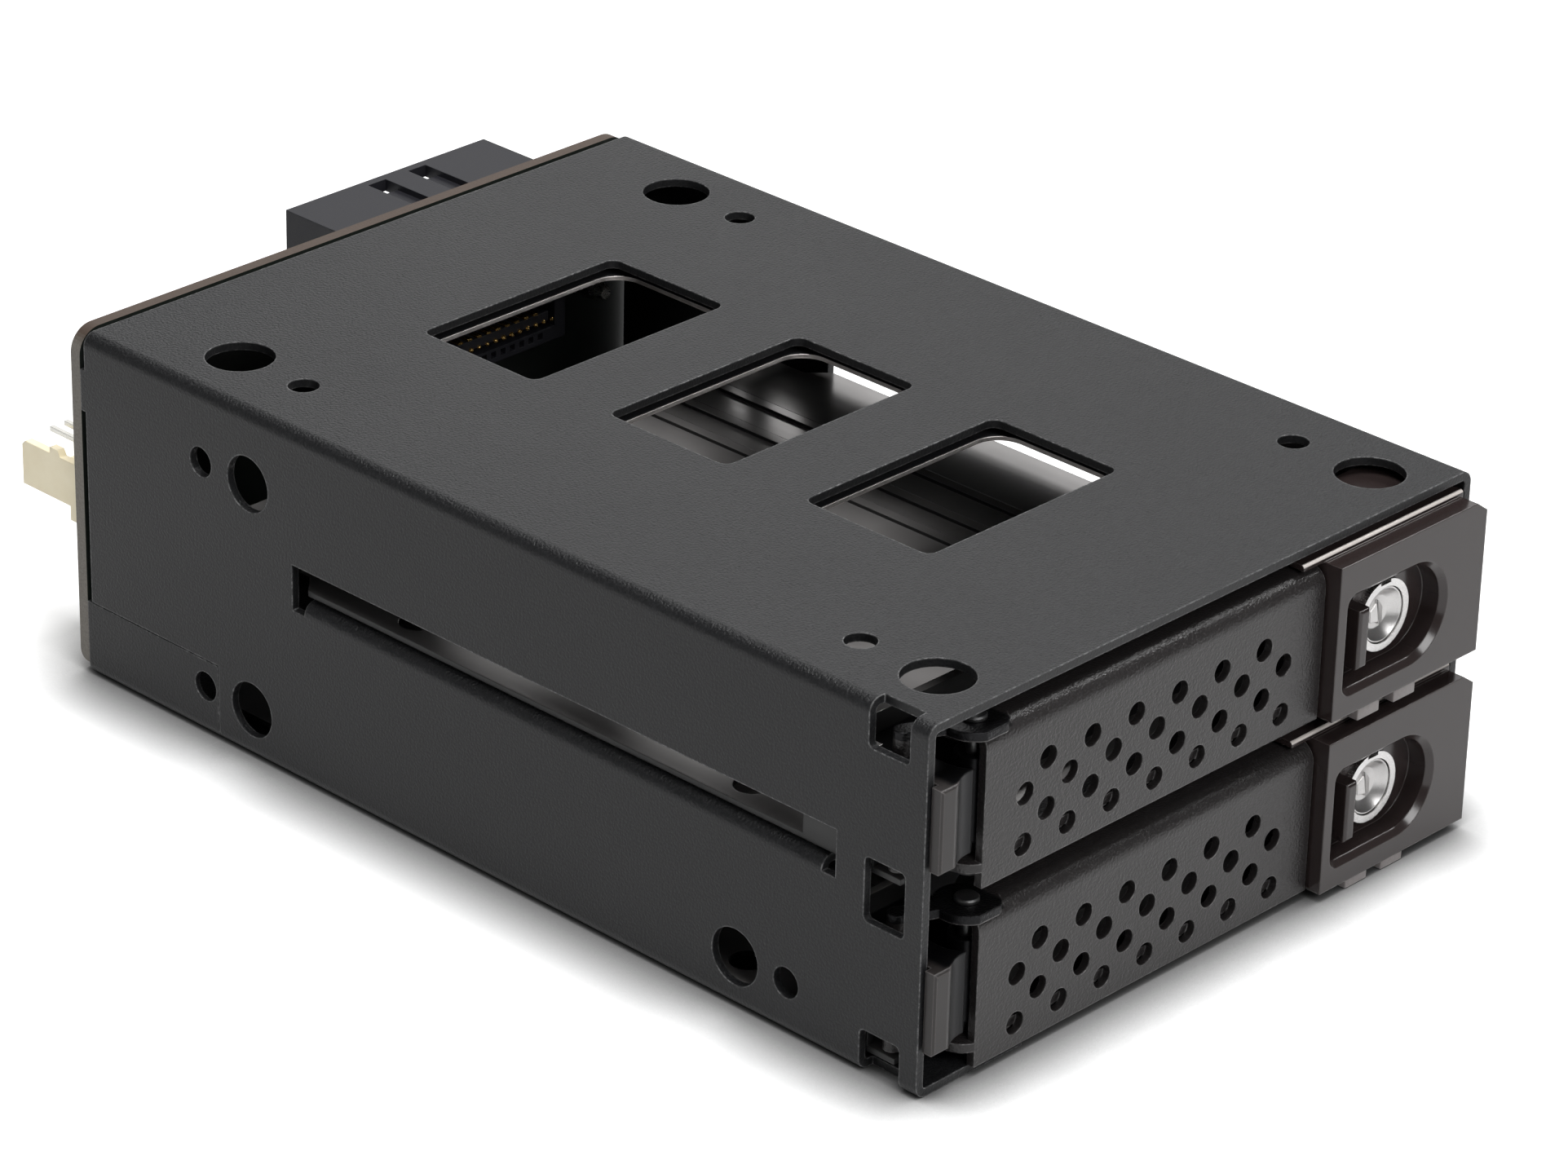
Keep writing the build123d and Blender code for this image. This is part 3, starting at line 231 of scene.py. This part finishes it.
def lever_coat(bay):
    """Coat of a lever, a little glossier and coarser than the cage's, with painted highlight along its top
    bend and painted shade, near black, on its lugs.
    """
    coat = Finish(f"lever_coat_satin_{bay}")
    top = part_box(f"lever_{bay}")[1].z
    rounded = coat.soft_edges(0.3 * MM)
    drift = coat.grain(14 * MM)
    pimple = coat.grain(0.34 * MM, detail=2.0)
    # Sharp edges are painted lighter: partly worn coat, partly painted highlight.
    edge = coat.worn_and_highlit_edges(rounded, 3.0, 0.6 * MM)
    face = coat.blend(edge, (0.0155, 0.0137, 0.0137), (0.30, 0.29, 0.29))
    # Painted highlight: pale specks on the faces that look along the bend, where a lamp's highlight falls.
    bend = coat.facing(BEND_NORMAL, 0.80, 0.96)
    bend_highlight_specks = bend * coat.ramp(coat.grain(0.28 * MM, detail=2.0), (0.58, 0.0), (0.68, 1.0))
    face = coat.blend(0.16 * bend_highlight_specks, face, (0.17, 0.165, 0.16))
    # Painted shade: the lugs, which lie in shade under the cage's top, get a near black metallic base.
    left = 1 - coat.beyond("X", LUG_END_X, 0.4 * MM)
    shaded_lug = left * coat.beyond("Z", top - LUG_THICKNESS, 0.1 * MM)
    return coat.close(
        Base_Color=coat.blend(shaded_lug, face, (0.012, 0.012, 0.013)),
        Metallic=0.8 * shaded_lug,
        Roughness=0.26 + 0.08 * drift,
        Specular_IOR_Level=0.45,
        Normal=coat.bump(pimple, 0.10 * MM, rounded),
    )


def tray_gloss():
    """Dark mirror plating of the trays, with faint drawn marks along the ribs, and painted shade, near black,
    on the faces that do not look up.
    """
    coat = Finish("tray_dark_plating")
    rounded = coat.soft_edges(0.2 * MM)
    flat = coat.level("Z")
    drift = coat.grain(9 * MM, detail=3.0)
    marks = coat.grain(1.2 * MM, stretch=(1, 40, 1))
    plated = coat.blend(drift, (0.26, 0.25, 0.245), (0.40, 0.385, 0.38))
    return coat.close(
        # Painted shade: faces that do not look up get a near black base and no metal.
        Base_Color=coat.blend(flat, (0.012, 0.012, 0.012), plated),
        Metallic=0.55 * flat,
        Roughness=0.42 - 0.26 * flat + 0.10 * marks,
        Normal=coat.bump(marks, 0.006 * MM, rounded),
    )


def window_plate_coat():
    """Coat of the thin plate under the windows. Its cut edges are bare and bright."""
    coat = Finish("window_plate_coat")
    cut = 1 - coat.level("Z", 0.05, 0.3)
    rounded = coat.soft_edges(0.25 * MM)
    wear = coat.grain(0.8 * MM, detail=3.0)
    bare = coat.blend(wear, (0.50, 0.47, 0.455), (0.80, 0.77, 0.75))
    base = coat.blend(cut, (0.010, 0.010, 0.011), bare)
    return coat.close(
        Base_Color=base,
        Metallic=cut,
        Roughness=0.36 + 0.14 * wear,
        Normal=coat.bump(wear, 0.01 * MM, rounded),
    )


def bezel_gloss(bay):
    """Gloss moulding of a bezel and its finger latch, with painted highlight on its sharp edges and a bright
    painted highlight along the bezel's brow.
    """
    moulding = Finish(f"bezel_gloss_moulding_{bay}")
    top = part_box(f"latch_bezel_{bay}")[1].z
    rounded = moulding.soft_edges(0.25 * MM)
    edge = moulding.edge_mask(rounded, 2.5)
    flow = moulding.grain(6 * MM, detail=1.0)
    dust = moulding.grain(0.25 * MM, detail=2.0)
    # Painted highlight: sharp edges are lighter.
    base = moulding.blend(edge * 0.5, (0.0225, 0.0163, 0.0157), (0.13, 0.115, 0.11))
    # Painted highlight: the brow, faces near the top that look along the bend, is painted pale in streaks.
    bend = moulding.facing(BEND_NORMAL, 0.80, 0.93)
    brow = bend * moulding.beyond("Z", top - BROW_HEIGHT, 0.1 * MM)
    brow_highlight = brow * (0.55 + 0.45 * moulding.grain(1.5 * MM, stretch=(6, 1, 1)))
    return moulding.close(
        Base_Color=moulding.blend(brow_highlight, base, (0.78, 0.72, 0.68)),
        Roughness=0.12 + 0.05 * flow + 0.04 * dust,
        Specular_IOR_Level=0.5,
        Normal=moulding.bump(flow, 0.02 * MM, rounded),
    )


def post_moulding():
    """Satin grey moulding of the hinge posts: a grey pad with painted highlight on its sharp edges, and
    painted shade, near black, on the body behind it.
    """
    moulding = Finish("hinge_post_moulding")
    rounded = moulding.soft_edges(0.35 * MM)
    edge = moulding.edge_mask(rounded, 2.5)
    fine = moulding.grain(0.3 * MM, detail=2.0)
    # Painted highlight: sharp edges of the pad are lighter.
    pad = moulding.blend(edge * 0.8, (0.021, 0.0180, 0.0172), (0.30, 0.28, 0.275))
    # Painted shade: the body behind the pad, which lies in shade inside the cage, gets a near black metallic
    # base.
    behind = moulding.beyond("Y", PAD_BACK_Y, 0.4 * MM) * moulding.beyond("X", PAD_LEFT_X, 1.0 * MM)
    return moulding.close(
        Base_Color=moulding.blend(behind, pad, (0.008, 0.008, 0.009)),
        Metallic=0.8 * behind,
        Roughness=0.30 + 0.1 * fine,
        Specular_IOR_Level=0.4,
        Normal=moulding.bump(fine, 0.01 * MM, rounded),
    )


def socket_moulding():
    """Satin black moulding of the sockets, with painted highlight on its sharp edges."""
    moulding = Finish("socket_moulding_black")
    rounded = moulding.soft_edges(0.15 * MM)
    edge = moulding.edge_mask(rounded, 2.5)
    fine = moulding.grain(0.2 * MM, detail=2.0)
    # Painted highlight: sharp edges are lighter.
    base = moulding.blend(edge * 0.5, (0.012, 0.012, 0.016), (0.06, 0.06, 0.066))
    return moulding.close(
        Base_Color=base,
        Roughness=0.5 + 0.1 * fine,
        Specular_IOR_Level=0.35,
        Normal=moulding.bump(fine, 0.01 * MM, rounded),
    )


def header_moulding():
    """Natural cream moulding of the power header."""
    moulding = Finish("header_moulding_cream")
    rounded = moulding.soft_edges(0.2 * MM)
    cloud = moulding.grain(3 * MM, detail=2.0)
    base = moulding.blend(cloud, (0.86, 0.76, 0.53), (0.95, 0.87, 0.66))
    return moulding.close(
        Base_Color=base,
        Roughness=0.45 + 0.1 * cloud,
        Normal=moulding.bump(cloud, 0.01 * MM, rounded),
    )


def plated_metal(name, dark, light, roughness, brush=(1, 1, 1)):
    """Plated or plain metal with brushing along the axis that is drawn out."""
    metal = Finish(name)
    rounded = metal.soft_edges(0.12 * MM)
    strokes = metal.grain(0.12 * MM, detail=3.0, stretch=brush)
    patina = metal.grain(2.5 * MM, detail=3.0)
    base = metal.blend(strokes * 0.5 + patina * 0.5, dark, light)
    return metal.close(
        Base_Color=base,
        Metallic=1.0,
        Roughness=roughness + 0.12 * strokes,
        Normal=metal.bump(strokes, 0.004 * MM, rounded),
    )


def board_laminate():
    """Fibreglass board: dark solder resist on its faces, layered glass cloth at its cut edge, painted paler
    where the edge faces sideways and darker where it faces up, as painted light and shade.
    """
    board = Finish("board_laminate")
    face = board.level("Y", 0.6, 0.9)
    top = board.level("Z", 0.4, 0.8)
    speck = board.grain(0.35 * MM, detail=4.0, roughness=0.7)
    weave = board.grain(0.5 * MM, detail=2.0, stretch=(3, 1, 1))
    # Painted light and shade: one cut edge in a paler copy on the sides and a darker brown copy on top.
    lit_side_cut = board.blend(speck, (0.055, 0.050, 0.043), (0.25, 0.23, 0.20))
    shaded_top_cut = board.blend(speck, (0.030, 0.018, 0.012), (0.085, 0.058, 0.042))
    resist = board.blend(weave, (0.006, 0.009, 0.007), (0.009, 0.013, 0.010))
    return board.close(
        Base_Color=board.blend(face, board.blend(top, lit_side_cut, shaded_top_cut), resist),
        Roughness=0.62 - 0.14 * face,
        Normal=board.bump(speck, 0.02 * MM),
    )


def clear_pipe():
    """Clear moulding of the light pipes, frosted where the light leaves."""
    pipe = Finish("light_pipe_clear")
    frost = pipe.grain(0.5 * MM, detail=2.0)
    base = pipe.blend(frost, (0.17, 0.152, 0.150), (0.27, 0.245, 0.24))
    return pipe.close(
        Base_Color=base,
        Roughness=0.26 + 0.2 * frost,
        Transmission_Weight=0.25,
        IOR=1.49,
        Normal=pipe.bump(frost, 0.01 * MM),
    )


LOCK_COLOURS = ((0.46, 0.45, 0.45), (0.80, 0.79, 0.78))
ROTOR_COLOURS = ((0.36, 0.35, 0.35), (0.70, 0.69, 0.68))
SCREW_COLOURS = ((0.34, 0.34, 0.34), (0.60, 0.60, 0.59))
RIVET_COLOURS = ((0.10, 0.10, 0.10), (0.22, 0.22, 0.22))
TIN_COLOURS = ((0.55, 0.54, 0.50), (0.80, 0.79, 0.74))
GOLD_COLOURS = ((0.75, 0.45, 0.12), (0.95, 0.66, 0.26))
DRAWN_ALONG_Y = (1, 20, 1)

FINISHES = {
    "shell_coat": powder_coat(),
    "plate_coat": window_plate_coat(),
    "tray_coat": tray_gloss(),
    "post_grey": post_moulding(),
    "lock_plate": plated_metal("lock_plating", *LOCK_COLOURS, 0.20),
    "screw_steel": plated_metal("screw_steel", *SCREW_COLOURS, 0.28),
    "rivet_steel": plated_metal("rivet_steel", *RIVET_COLOURS, 0.36),
    "pin_plate": plated_metal("tin_plate", *TIN_COLOURS, 0.22, DRAWN_ALONG_Y),
    "contact_gold": plated_metal("contact_gold", *GOLD_COLOURS, 0.2, DRAWN_ALONG_Y),
    "board_laminate": board_laminate(),
    "socket_black": socket_moulding(),
    "header_cream": header_moulding(),
    "pipe_clear": clear_pipe(),
}
LEVER_FINISH = {bay: lever_coat(bay) for bay in BAYS}
BEZEL_FINISH = {bay: bezel_gloss(bay) for bay in BAYS}
ROTOR_FINISH = plated_metal("lock_rotor_plating", *ROTOR_COLOURS, 0.24)


def node_finish(name, slot):
    """Finish of a node of the model: that of its slot, unless the piece has its own."""
    bay = name.rpartition("_")[2]
    if slot == "bezel_gloss":
        return BEZEL_FINISH[bay]
    if name.startswith("lever"):
        return LEVER_FINISH[bay]
    if name.startswith("lock_rotor"):
        return ROTOR_FINISH
    if name.startswith("hinge_pin"):
        return FINISHES["rivet_steel"]
    return FINISHES[slot]


def dress_nodes():
    """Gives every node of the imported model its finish."""
    slots = {part["node"]: part["material_slot"] for part in frame["record"]["subparts"]}
    for name, node in frame["nodes"].items():
        for place in node.material_slots:
            place.material = node_finish(name, slots[name])


# Repeated pieces

class Growth:
    """A Geometry Nodes tree with named inputs, which ends in Realize Instances and Set Material."""

    def __init__(self, name, inputs):
        self.tree = bpy.data.node_groups.new(name, "GeometryNodeTree")
        self.sockets = {}
        face = self.tree.interface
        for title, kind, value in inputs:
            made = face.new_socket(title, in_out="INPUT", socket_type="NodeSocket" + kind)
            made.default_value = value
            self.sockets[title] = made.identifier
        face.new_socket("Geometry", in_out="OUTPUT", socket_type="NodeSocketGeometry")
        self.entry = self.tree.nodes.new("NodeGroupInput")
        self.exit = self.tree.nodes.new("NodeGroupOutput")

    def given(self, title):
        return self.entry.outputs[title]

    def node(self, kind, settings, sockets, output=0):
        made = self.tree.nodes.new(kind)
        for key, value in settings.items():
            setattr(made, key, value)
        for key, value in sockets.items():
            if isinstance(value, bpy.types.NodeSocket):
                self.tree.links.new(value, made.inputs[key])
            else:
                made.inputs[key].default_value = value
        return made.outputs[output]

    def wall_points(self):
        """Columns and rows of points about Centre, on an upright wall that faces along Y."""
        grid = self.node("GeometryNodeMeshGrid", {}, {
            "Size X": self.given("Width"), "Size Y": self.given("Height"),
            "Vertices X": self.given("Columns"), "Vertices Y": self.given("Rows"),
        })
        return self.node("GeometryNodeTransform", {}, {
            "Geometry": grid, "Translation": self.given("Centre"), "Rotation": (pi / 2, 0, 0),
        })

    def close(self, instances, finish):
        """Ends the tree: instances made real and given a finish."""
        solid = self.node("GeometryNodeRealizeInstances", {}, {"Geometry": instances})
        coated = self.node("GeometryNodeSetMaterial", {}, {"Geometry": solid, "Material": finish})
        self.tree.links.new(coated, self.exit.inputs[0])

    def grow(self, name, values, body, slot):
        """Runs the tree with the given values and keeps the result as one plain mesh on a body."""
        seed_mesh = bpy.data.meshes.new(name + "_seed")
        holder = bpy.data.objects.new(name + "_seed", seed_mesh)
        bpy.context.scene.collection.objects.link(holder)
        modifier = holder.modifiers.new("growth", "NODES")
        modifier.node_group = self.tree
        for title, value in values.items():
            modifier[self.sockets[title]] = value
        bpy.context.view_layer.update()
        grown = holder.evaluated_get(bpy.context.evaluated_depsgraph_get())
        mesh = bpy.data.meshes.new_from_object(grown)
        bpy.data.objects.remove(holder)
        bpy.data.meshes.remove(seed_mesh)
        return settle(name, mesh, body)


def settle(name, mesh, body):
    """Puts a finished mesh in the scene, on its body."""
    mesh.name = name
    piece = bpy.data.objects.new(name, mesh)
    bpy.context.scene.collection.objects.link(piece)
    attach(piece, body)
    return piece


def stud_rows(finish):
    """Rows of small domes of slightly uneven size: solder joints, or the tips of contacts."""
    rows = Growth("stud_rows", (
        ("Columns", "Int", 19),
        ("Rows", "Int", 2),
        ("Width", "Float", 30 * MM),
        ("Height", "Float", 5 * MM),
        ("Centre", "Vector", (0, 0, 0)),
        ("Radius", "Float", 0.5 * MM),
        ("Seed", "Int", 4),
    ))
    points = rows.wall_points()
    dome = rows.node("GeometryNodeMeshUVSphere", {}, {
        "Segments": 12, "Rings": 6, "Radius": rows.given("Radius"),
    })
    size = rows.node("FunctionNodeRandomValue", {"data_type": "FLOAT"}, {
        2: SMALLEST_STUD, 3: LARGEST_STUD, "Seed": rows.given("Seed"),
    }, output=1)
    studs = rows.node("GeometryNodeInstanceOnPoints", {}, {"Points": points, "Instance": dome, "Scale": size})
    rows.close(studs, finish)
    return rows


def blade_rows(finish):
    """Rows of flat blades that lie along Y: contacts of a socket."""
    rows = Growth("blade_rows", (
        ("Columns", "Int", 18),
        ("Rows", "Int", 2),
        ("Width", "Float", 25 * MM),
        ("Height", "Float", 1.3 * MM),
        ("Centre", "Vector", (0, 0, 0)),
        ("Blade", "Vector", (0.6 * MM, 6 * MM, 0.2 * MM)),
    ))
    points = rows.wall_points()
    blade = rows.node("GeometryNodeMeshCube", {}, {"Size": rows.given("Blade")})
    blades = rows.node("GeometryNodeInstanceOnPoints", {}, {"Points": points, "Instance": blade})
    rows.close(blades, finish)
    return rows


# Board details

SMALLEST_STUD = 0.8
LARGEST_STUD = 1.1
JOINT_WIDTH_SHARE = 0.76  # of the socket whose pins the joints hold
JOINT_HEIGHT_SHARE = 0.6
TIP_RADIUS = 0.42 * MM
TIP_ROW_X = 14.5 * MM
TIP_ROW_RISE = 3.3 * MM
TIP_COLUMNS = 15
TIP_PITCH = 1.55 * MM
DATA_BLADE = (0.7 * MM, 5.5 * MM, 0.15 * MM)
DATA_ROW_WIDTH = 24.2 * MM
DATA_BLADE_Y = 5.0 * MM  # middle of the blades, behind the board


def board_details():
    """Solder joints and contact tips of both drive sockets, and the contacts in the data socket."""
    joints = stud_rows(FINISHES["pin_plate"])
    tips = stud_rows(FINISHES["contact_gold"])
    board_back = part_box("rear_board")[1].y
    for bay in BAYS:
        low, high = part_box(f"drive_connector_{bay}")
        middle = (low + high) / 2
        joints.grow(f"solder_joints_{bay}", {
            "Centre": (middle.x, board_back, middle.z),
            "Width": JOINT_WIDTH_SHARE * (high.x - low.x),
            "Height": JOINT_HEIGHT_SHARE * (high.z - low.z),
            "Seed": BAYS.index(bay),
        }, "cage", "pin_plate")
        tips.grow(f"contact_tips_{bay}", {
            "Centre": (TIP_ROW_X, low.y, low.z + TIP_ROW_RISE),
            "Columns": TIP_COLUMNS,
            "Rows": 1,
            "Width": (TIP_COLUMNS - 1) * TIP_PITCH,
            "Radius": TIP_RADIUS,
        }, "cage", "contact_gold")
    low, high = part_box("data_connector")
    middle = (low + high) / 2
    blade_rows(FINISHES["contact_gold"]).grow("data_contacts", {
        "Centre": (middle.x, board_back + DATA_BLADE_Y, middle.z),
        "Width": DATA_ROW_WIDTH,
        "Blade": DATA_BLADE,
    }, "cage", "contact_gold")


# Pieces that stand for a plainer node

def plates(name, boxes, round_off, body, finish):
    """Rounded plates in one piece, each between two corners."""
    made = bmesh.new()
    for low, high in boxes:
        size = Matrix.Diagonal((*(high - low), 1))
        place = Matrix.Translation((low + high) / 2) @ size
        cube = bmesh.ops.create_cube(made, size=1.0, matrix=place)
        edges = list({edge for vertex in cube["verts"] for edge in vertex.link_edges})
        bmesh.ops.bevel(made, geom=edges, offset=round_off, segments=3, profile=0.5, affect="EDGES")
    return solid_piece(name, made, body, finish)


def solid_piece(name, made, body, finish, crease=radians(35)):
    """Keeps a finished bmesh as a piece: normals outwards, smooth but for its creases."""
    bmesh.ops.recalc_face_normals(made, faces=list(made.faces))
    mesh = bpy.data.meshes.new(name)
    made.to_mesh(mesh)
    made.free()
    mesh.polygons.foreach_set("use_smooth", [True] * len(mesh.polygons))
    mesh.set_sharp_from_angle(angle=crease)
    mesh.materials.append(finish)
    return settle(name, mesh, body)


# Half section of the dish from its back rim to its middle: radius and depth behind the face, in mm
DISH_SECTION = (
    (3.84, 2.2), (3.84, 0.12), (3.76, 0.04), (3.60, 0.04), (2.35, 1.15), (2.20, 1.20), (0.0, 1.20),
)
DISH_STEPS = 72
ROTOR_CUT = 2.2 * MM  # behind the face, where the dish meets the shaft of the model
WELD = 0.001 * MM
WARD_WIDTH = 1.1 * MM
WARD_LENGTH = 3.4 * MM
WARD_GAP = 0.08 * MM  # from the middle of the keyway
WARD_SINK = 0.05 * MM
WARD_RISES = (0.55 * MM, 0.15 * MM, 0.1 * MM, 0.22 * MM)
WARD_SIDES = ((-1, 0.7), (1, 1.0))  # side of the keyway and share of the full length


def lock_rotors():
    """Key rotors with a conical dish and the wards of the closed keyway, on the shaft and cam of the model."""
    for bay in BAYS:
        node = frame["nodes"][f"lock_rotor_{bay}"]
        low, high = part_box(f"lock_barrel_{bay}")
        middle = (low + high) / 2
        face = Vector((middle.x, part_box(node.name)[0].y, middle.z))
        made = bmesh.new()
        made.from_mesh(node.data)
        cut_face(made, face + Vector((0, ROTOR_CUT, 0)))
        spin_dish(made, face)
        bottom = face + Vector((0, DISH_SECTION[-1][1] * MM, 0))
        for side, share in WARD_SIDES:
            ward_ridge(made, bottom, side, share)
        name = f"lock_dish_{bay}"
        rotor = solid_piece(name, made, f"key_{bay}", ROTOR_FINISH, crease=radians(20))
        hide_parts(node.name)


def cut_face(made, place):
    """Takes away all of a rotor in front of a place and closes the cut."""
    bmesh.ops.remove_doubles(made, verts=list(made.verts), dist=WELD)
    everything = list(made.verts) + list(made.edges) + list(made.faces)
    shaft = bmesh.ops.bisect_plane(
        made, geom=everything, dist=1e-7, plane_co=place, plane_no=(0, 1, 0), clear_inner=True)
    rim = [item for item in shaft["geom_cut"] if isinstance(item, bmesh.types.BMEdge)]
    bmesh.ops.triangle_fill(made, edges=rim, use_beauty=True)


def spin_dish(made, face):
    """Turns the section of the dish round the axis of the lock."""
    section = [made.verts.new(face + Vector((radius * MM, depth * MM, 0))) for radius, depth in DISH_SECTION]
    section.append(made.verts.new(face + Vector((0, ROTOR_CUT, 0))))
    loop = section + section[:1]
    edges = [made.edges.new(pair) for pair in zip(loop, loop[1:])]
    bmesh.ops.spin(made, geom=section + edges, cent=face, axis=(0, 1, 0), angle=2 * pi,
                   steps=DISH_STEPS, use_merge=True)
    bmesh.ops.remove_doubles(made, verts=list(made.verts), dist=WELD)


def ward_ridge(made, bottom, side, share):
    """One sloped ward at the bottom of the dish, beside the middle of the keyway."""
    inner = side * WARD_GAP
    outer = side * (WARD_GAP + WARD_WIDTH)
    half = WARD_LENGTH / 2
    foot = ((inner, -half * share), (outer, -half * share), (outer, half * 0.2), (inner, half * share))
    base = [made.verts.new(bottom + Vector((x, WARD_SINK, z))) for x, z in foot]
    lift = [made.verts.new(bottom + Vector((x, -rise, z))) for (x, z), rise in zip(foot, WARD_RISES)]
    made.faces.new(base)
    made.faces.new(lift)
    for k in range(len(foot)):
        after = (k + 1) % len(foot)
        made.faces.new((base[k], base[after], lift[after], lift[k]))


PAD_WIDTH = 4.3 * MM
PAD_LOWEST = 0.05 * MM  # above the floor
PAD_HANG = 0.9 * MM  # below the bezel
PAD_SET_BACK = 0.05 * MM
PAD_ROUNDING = 0.18 * MM


def light_pads():
    """Frosted ends of the light pipes, flush with the face of the bezel and hanging below its lower edge."""
    for bay in BAYS:
        node = f"light_pipes_{bay}"
        low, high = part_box(node)
        bezel_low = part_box(f"latch_bezel_{bay}")[0]
        front = bezel_low.y + PAD_SET_BACK
        bottom = max(bezel_low.z - PAD_HANG, PAD_LOWEST)
        boxes = [
            (Vector((left, front, bottom)), Vector((left + PAD_WIDTH, high.y, high.z)))
            for left in (low.x, high.x - PAD_WIDTH)
        ]
        name = f"light_pads_{bay}"
        pads = plates(name, boxes, PAD_ROUNDING, f"tray_{bay}", FINISHES["pipe_clear"])
        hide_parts(node)


def latch_springs():
    """Latch springs of the model, copied with the tin plating onto the tray's body."""
    for bay in BAYS:
        node = frame["nodes"][f"latch_spring_{bay}"]
        mesh = node.data.copy()
        mesh.materials.clear()
        mesh.materials.append(FINISHES["pin_plate"])
        coil = settle(f"latch_coil_{bay}", mesh, f"tray_{bay}")
        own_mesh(coil)
        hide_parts(node.name)


# Light, floor and camera

# Name, place and aim in metres, width and height in metres, watts
SOFT_LAMPS = (
    ("top_softbox", (-0.10, -0.05, 1.0), (0, 0, 0.03), (0.5, 0.5), 9.0),
    ("back_softbox", (0.80, 0.80, 0.62), (0, 0, 0.05), (0.9, 0.9), 3.2),
    ("brow_softbox", (0.70, -0.10, 0.80), (0, 0, 0.03), (0.20, 0.42), 4.2),
    ("key_softbox", (-0.14, -0.95, 0.72), (0, 0, 0.02), (0.8, 0.30), 6.5),
    ("left_softbox", (-0.95, 0.25, 0.45), (0, 0, 0.02), (0.6, 0.6), 0.2),
)
WORLD_FILL = 0.10  # what the white world gives to the part, where the camera sees it as 1
FLOOR_REACH = 3.0
FLOOR_TONE = 0.78
FLOOR_LIFT = 0.4  # glow that brings the floor to white for the camera
CONTACT_REACH = 13 * MM  # width of the painted contact shadow where the part meets the floor
CONTACT_FALL = 2.6
CONTACT_SHADOW_TONE = 0.04


def stand(name, data, place, right, up, back):
    """Puts a lamp or a camera at a place, turned to its own three axes."""
    holder = bpy.data.objects.new(name, data)
    bpy.context.scene.collection.objects.link(holder)
    turn = Matrix((right, up, back)).transposed().to_4x4()
    holder.matrix_world = Matrix.Translation(place) @ turn
    return holder


def light_world():
    """World that is white to the camera and dim to everything else."""
    world = bpy.data.worlds.new("studio")
    world.use_nodes = True
    bpy.context.scene.world = world
    nodes, links = world.node_tree.nodes, world.node_tree.links
    rays = nodes.new("ShaderNodeLightPath")
    seen = nodes.new("ShaderNodeMath")
    seen.operation = "MAXIMUM"
    links.new(rays.outputs["Is Camera Ray"], seen.inputs[0])
    seen.inputs[1].default_value = WORLD_FILL
    nodes["Background"].inputs["Color"].default_value = (1, 1, 1, 1)
    links.new(seen.outputs[0], nodes["Background"].inputs["Strength"])


def hang_lamps():
    """Soft lamps, each facing its aim."""
    for name, place, aim, size, power in SOFT_LAMPS:
        lamp = bpy.data.lights.new(name, "AREA")
        lamp.shape = "RECTANGLE"
        lamp.size, lamp.size_y = size
        lamp.energy = power
        back = (Vector(place) - Vector(aim)).normalized()
        across = Vector((1, 0, 0)) if abs(back.x) < abs(back.y) else Vector((0, 1, 0)).cross(back)
        across = (across - across.dot(back) * back).normalized()
        stand(name, lamp, place, across, back.cross(across), back)


def lay_floor():
    """Wide plain floor, nearly white, with a painted contact shadow for the camera where the part touches it.
    """
    reach = FLOOR_REACH
    corners = [(-reach, -reach, 0), (reach, -reach, 0), (reach, reach, 0), (-reach, reach, 0)]
    mesh = bpy.data.meshes.new("floor")
    mesh.from_pydata(corners, [], [(0, 1, 2, 3)])
    floor = bpy.data.objects.new("floor", mesh)
    bpy.context.scene.collection.objects.link(floor)
    paper = Finish("floor_paper")
    near = paper.node("AmbientOcclusion", {"samples": 16}, {"Distance": CONTACT_REACH}, output="AO")
    seen = paper.node("LightPath", {}, {}, output="Is Camera Ray")
    # Painted shadow: ambient occlusion darkens the floor for camera rays near the part.
    contact_shadow = 1 - seen * (1 - near ** CONTACT_FALL)
    mesh.materials.append(paper.close(
        Base_Color=paper.blend(contact_shadow, (CONTACT_SHADOW_TONE,) * 3, (FLOOR_TONE,) * 3),
        Roughness=0.8,
        Specular_IOR_Level=0.1,
        Emission_Color=paper.blend(seen * contact_shadow, (0, 0, 0), (FLOOR_LIFT,) * 3),
        Emission_Strength=1.0,
    ))


# Photograph's view: azimuth and elevation seen from VIEW_POINT, roll, distance, and slides to the
# right and up in metres
VIEW_TURN = radians(-46.604)
VIEW_RISE = radians(26.676)
VIEW_ROLL = radians(1.421)
VIEW_DISTANCE = 0.75102
VIEW_SLIDE = (-0.05107, 0.04691)
VIEW_POINT = Vector((0, -0.076, 0))
FOCAL_PIXELS = 7339.0
PICTURE_WIDTH = 1923
SENSOR = 36.0


def set_camera():
    """Camera at the photograph's view. Slides move it instead of a lens shift."""
    level_share = cos(VIEW_RISE)
    back = Vector((sin(VIEW_TURN) * level_share, -cos(VIEW_TURN) * level_share, sin(VIEW_RISE)))
    level = Vector((cos(VIEW_TURN), sin(VIEW_TURN), 0))
    upright = back.cross(level)
    right = cos(VIEW_ROLL) * level + sin(VIEW_ROLL) * upright
    up = cos(VIEW_ROLL) * upright - sin(VIEW_ROLL) * level
    camera = bpy.data.cameras.new("camera")
    camera.sensor_width = SENSOR
    camera.lens = FOCAL_PIXELS / PICTURE_WIDTH * SENSOR
    camera.clip_start = 0.01
    place = VIEW_POINT + back * VIEW_DISTANCE + right * VIEW_SLIDE[0] + up * VIEW_SLIDE[1]
    bpy.context.scene.camera = stand("camera", camera, place, right, up, back)


bpy.context.scene.view_settings.view_transform = "Standard"
dress_nodes()
board_details()
lock_rotors()
light_pads()
latch_springs()
light_world()
hang_lamps()
lay_floor()
set_camera()
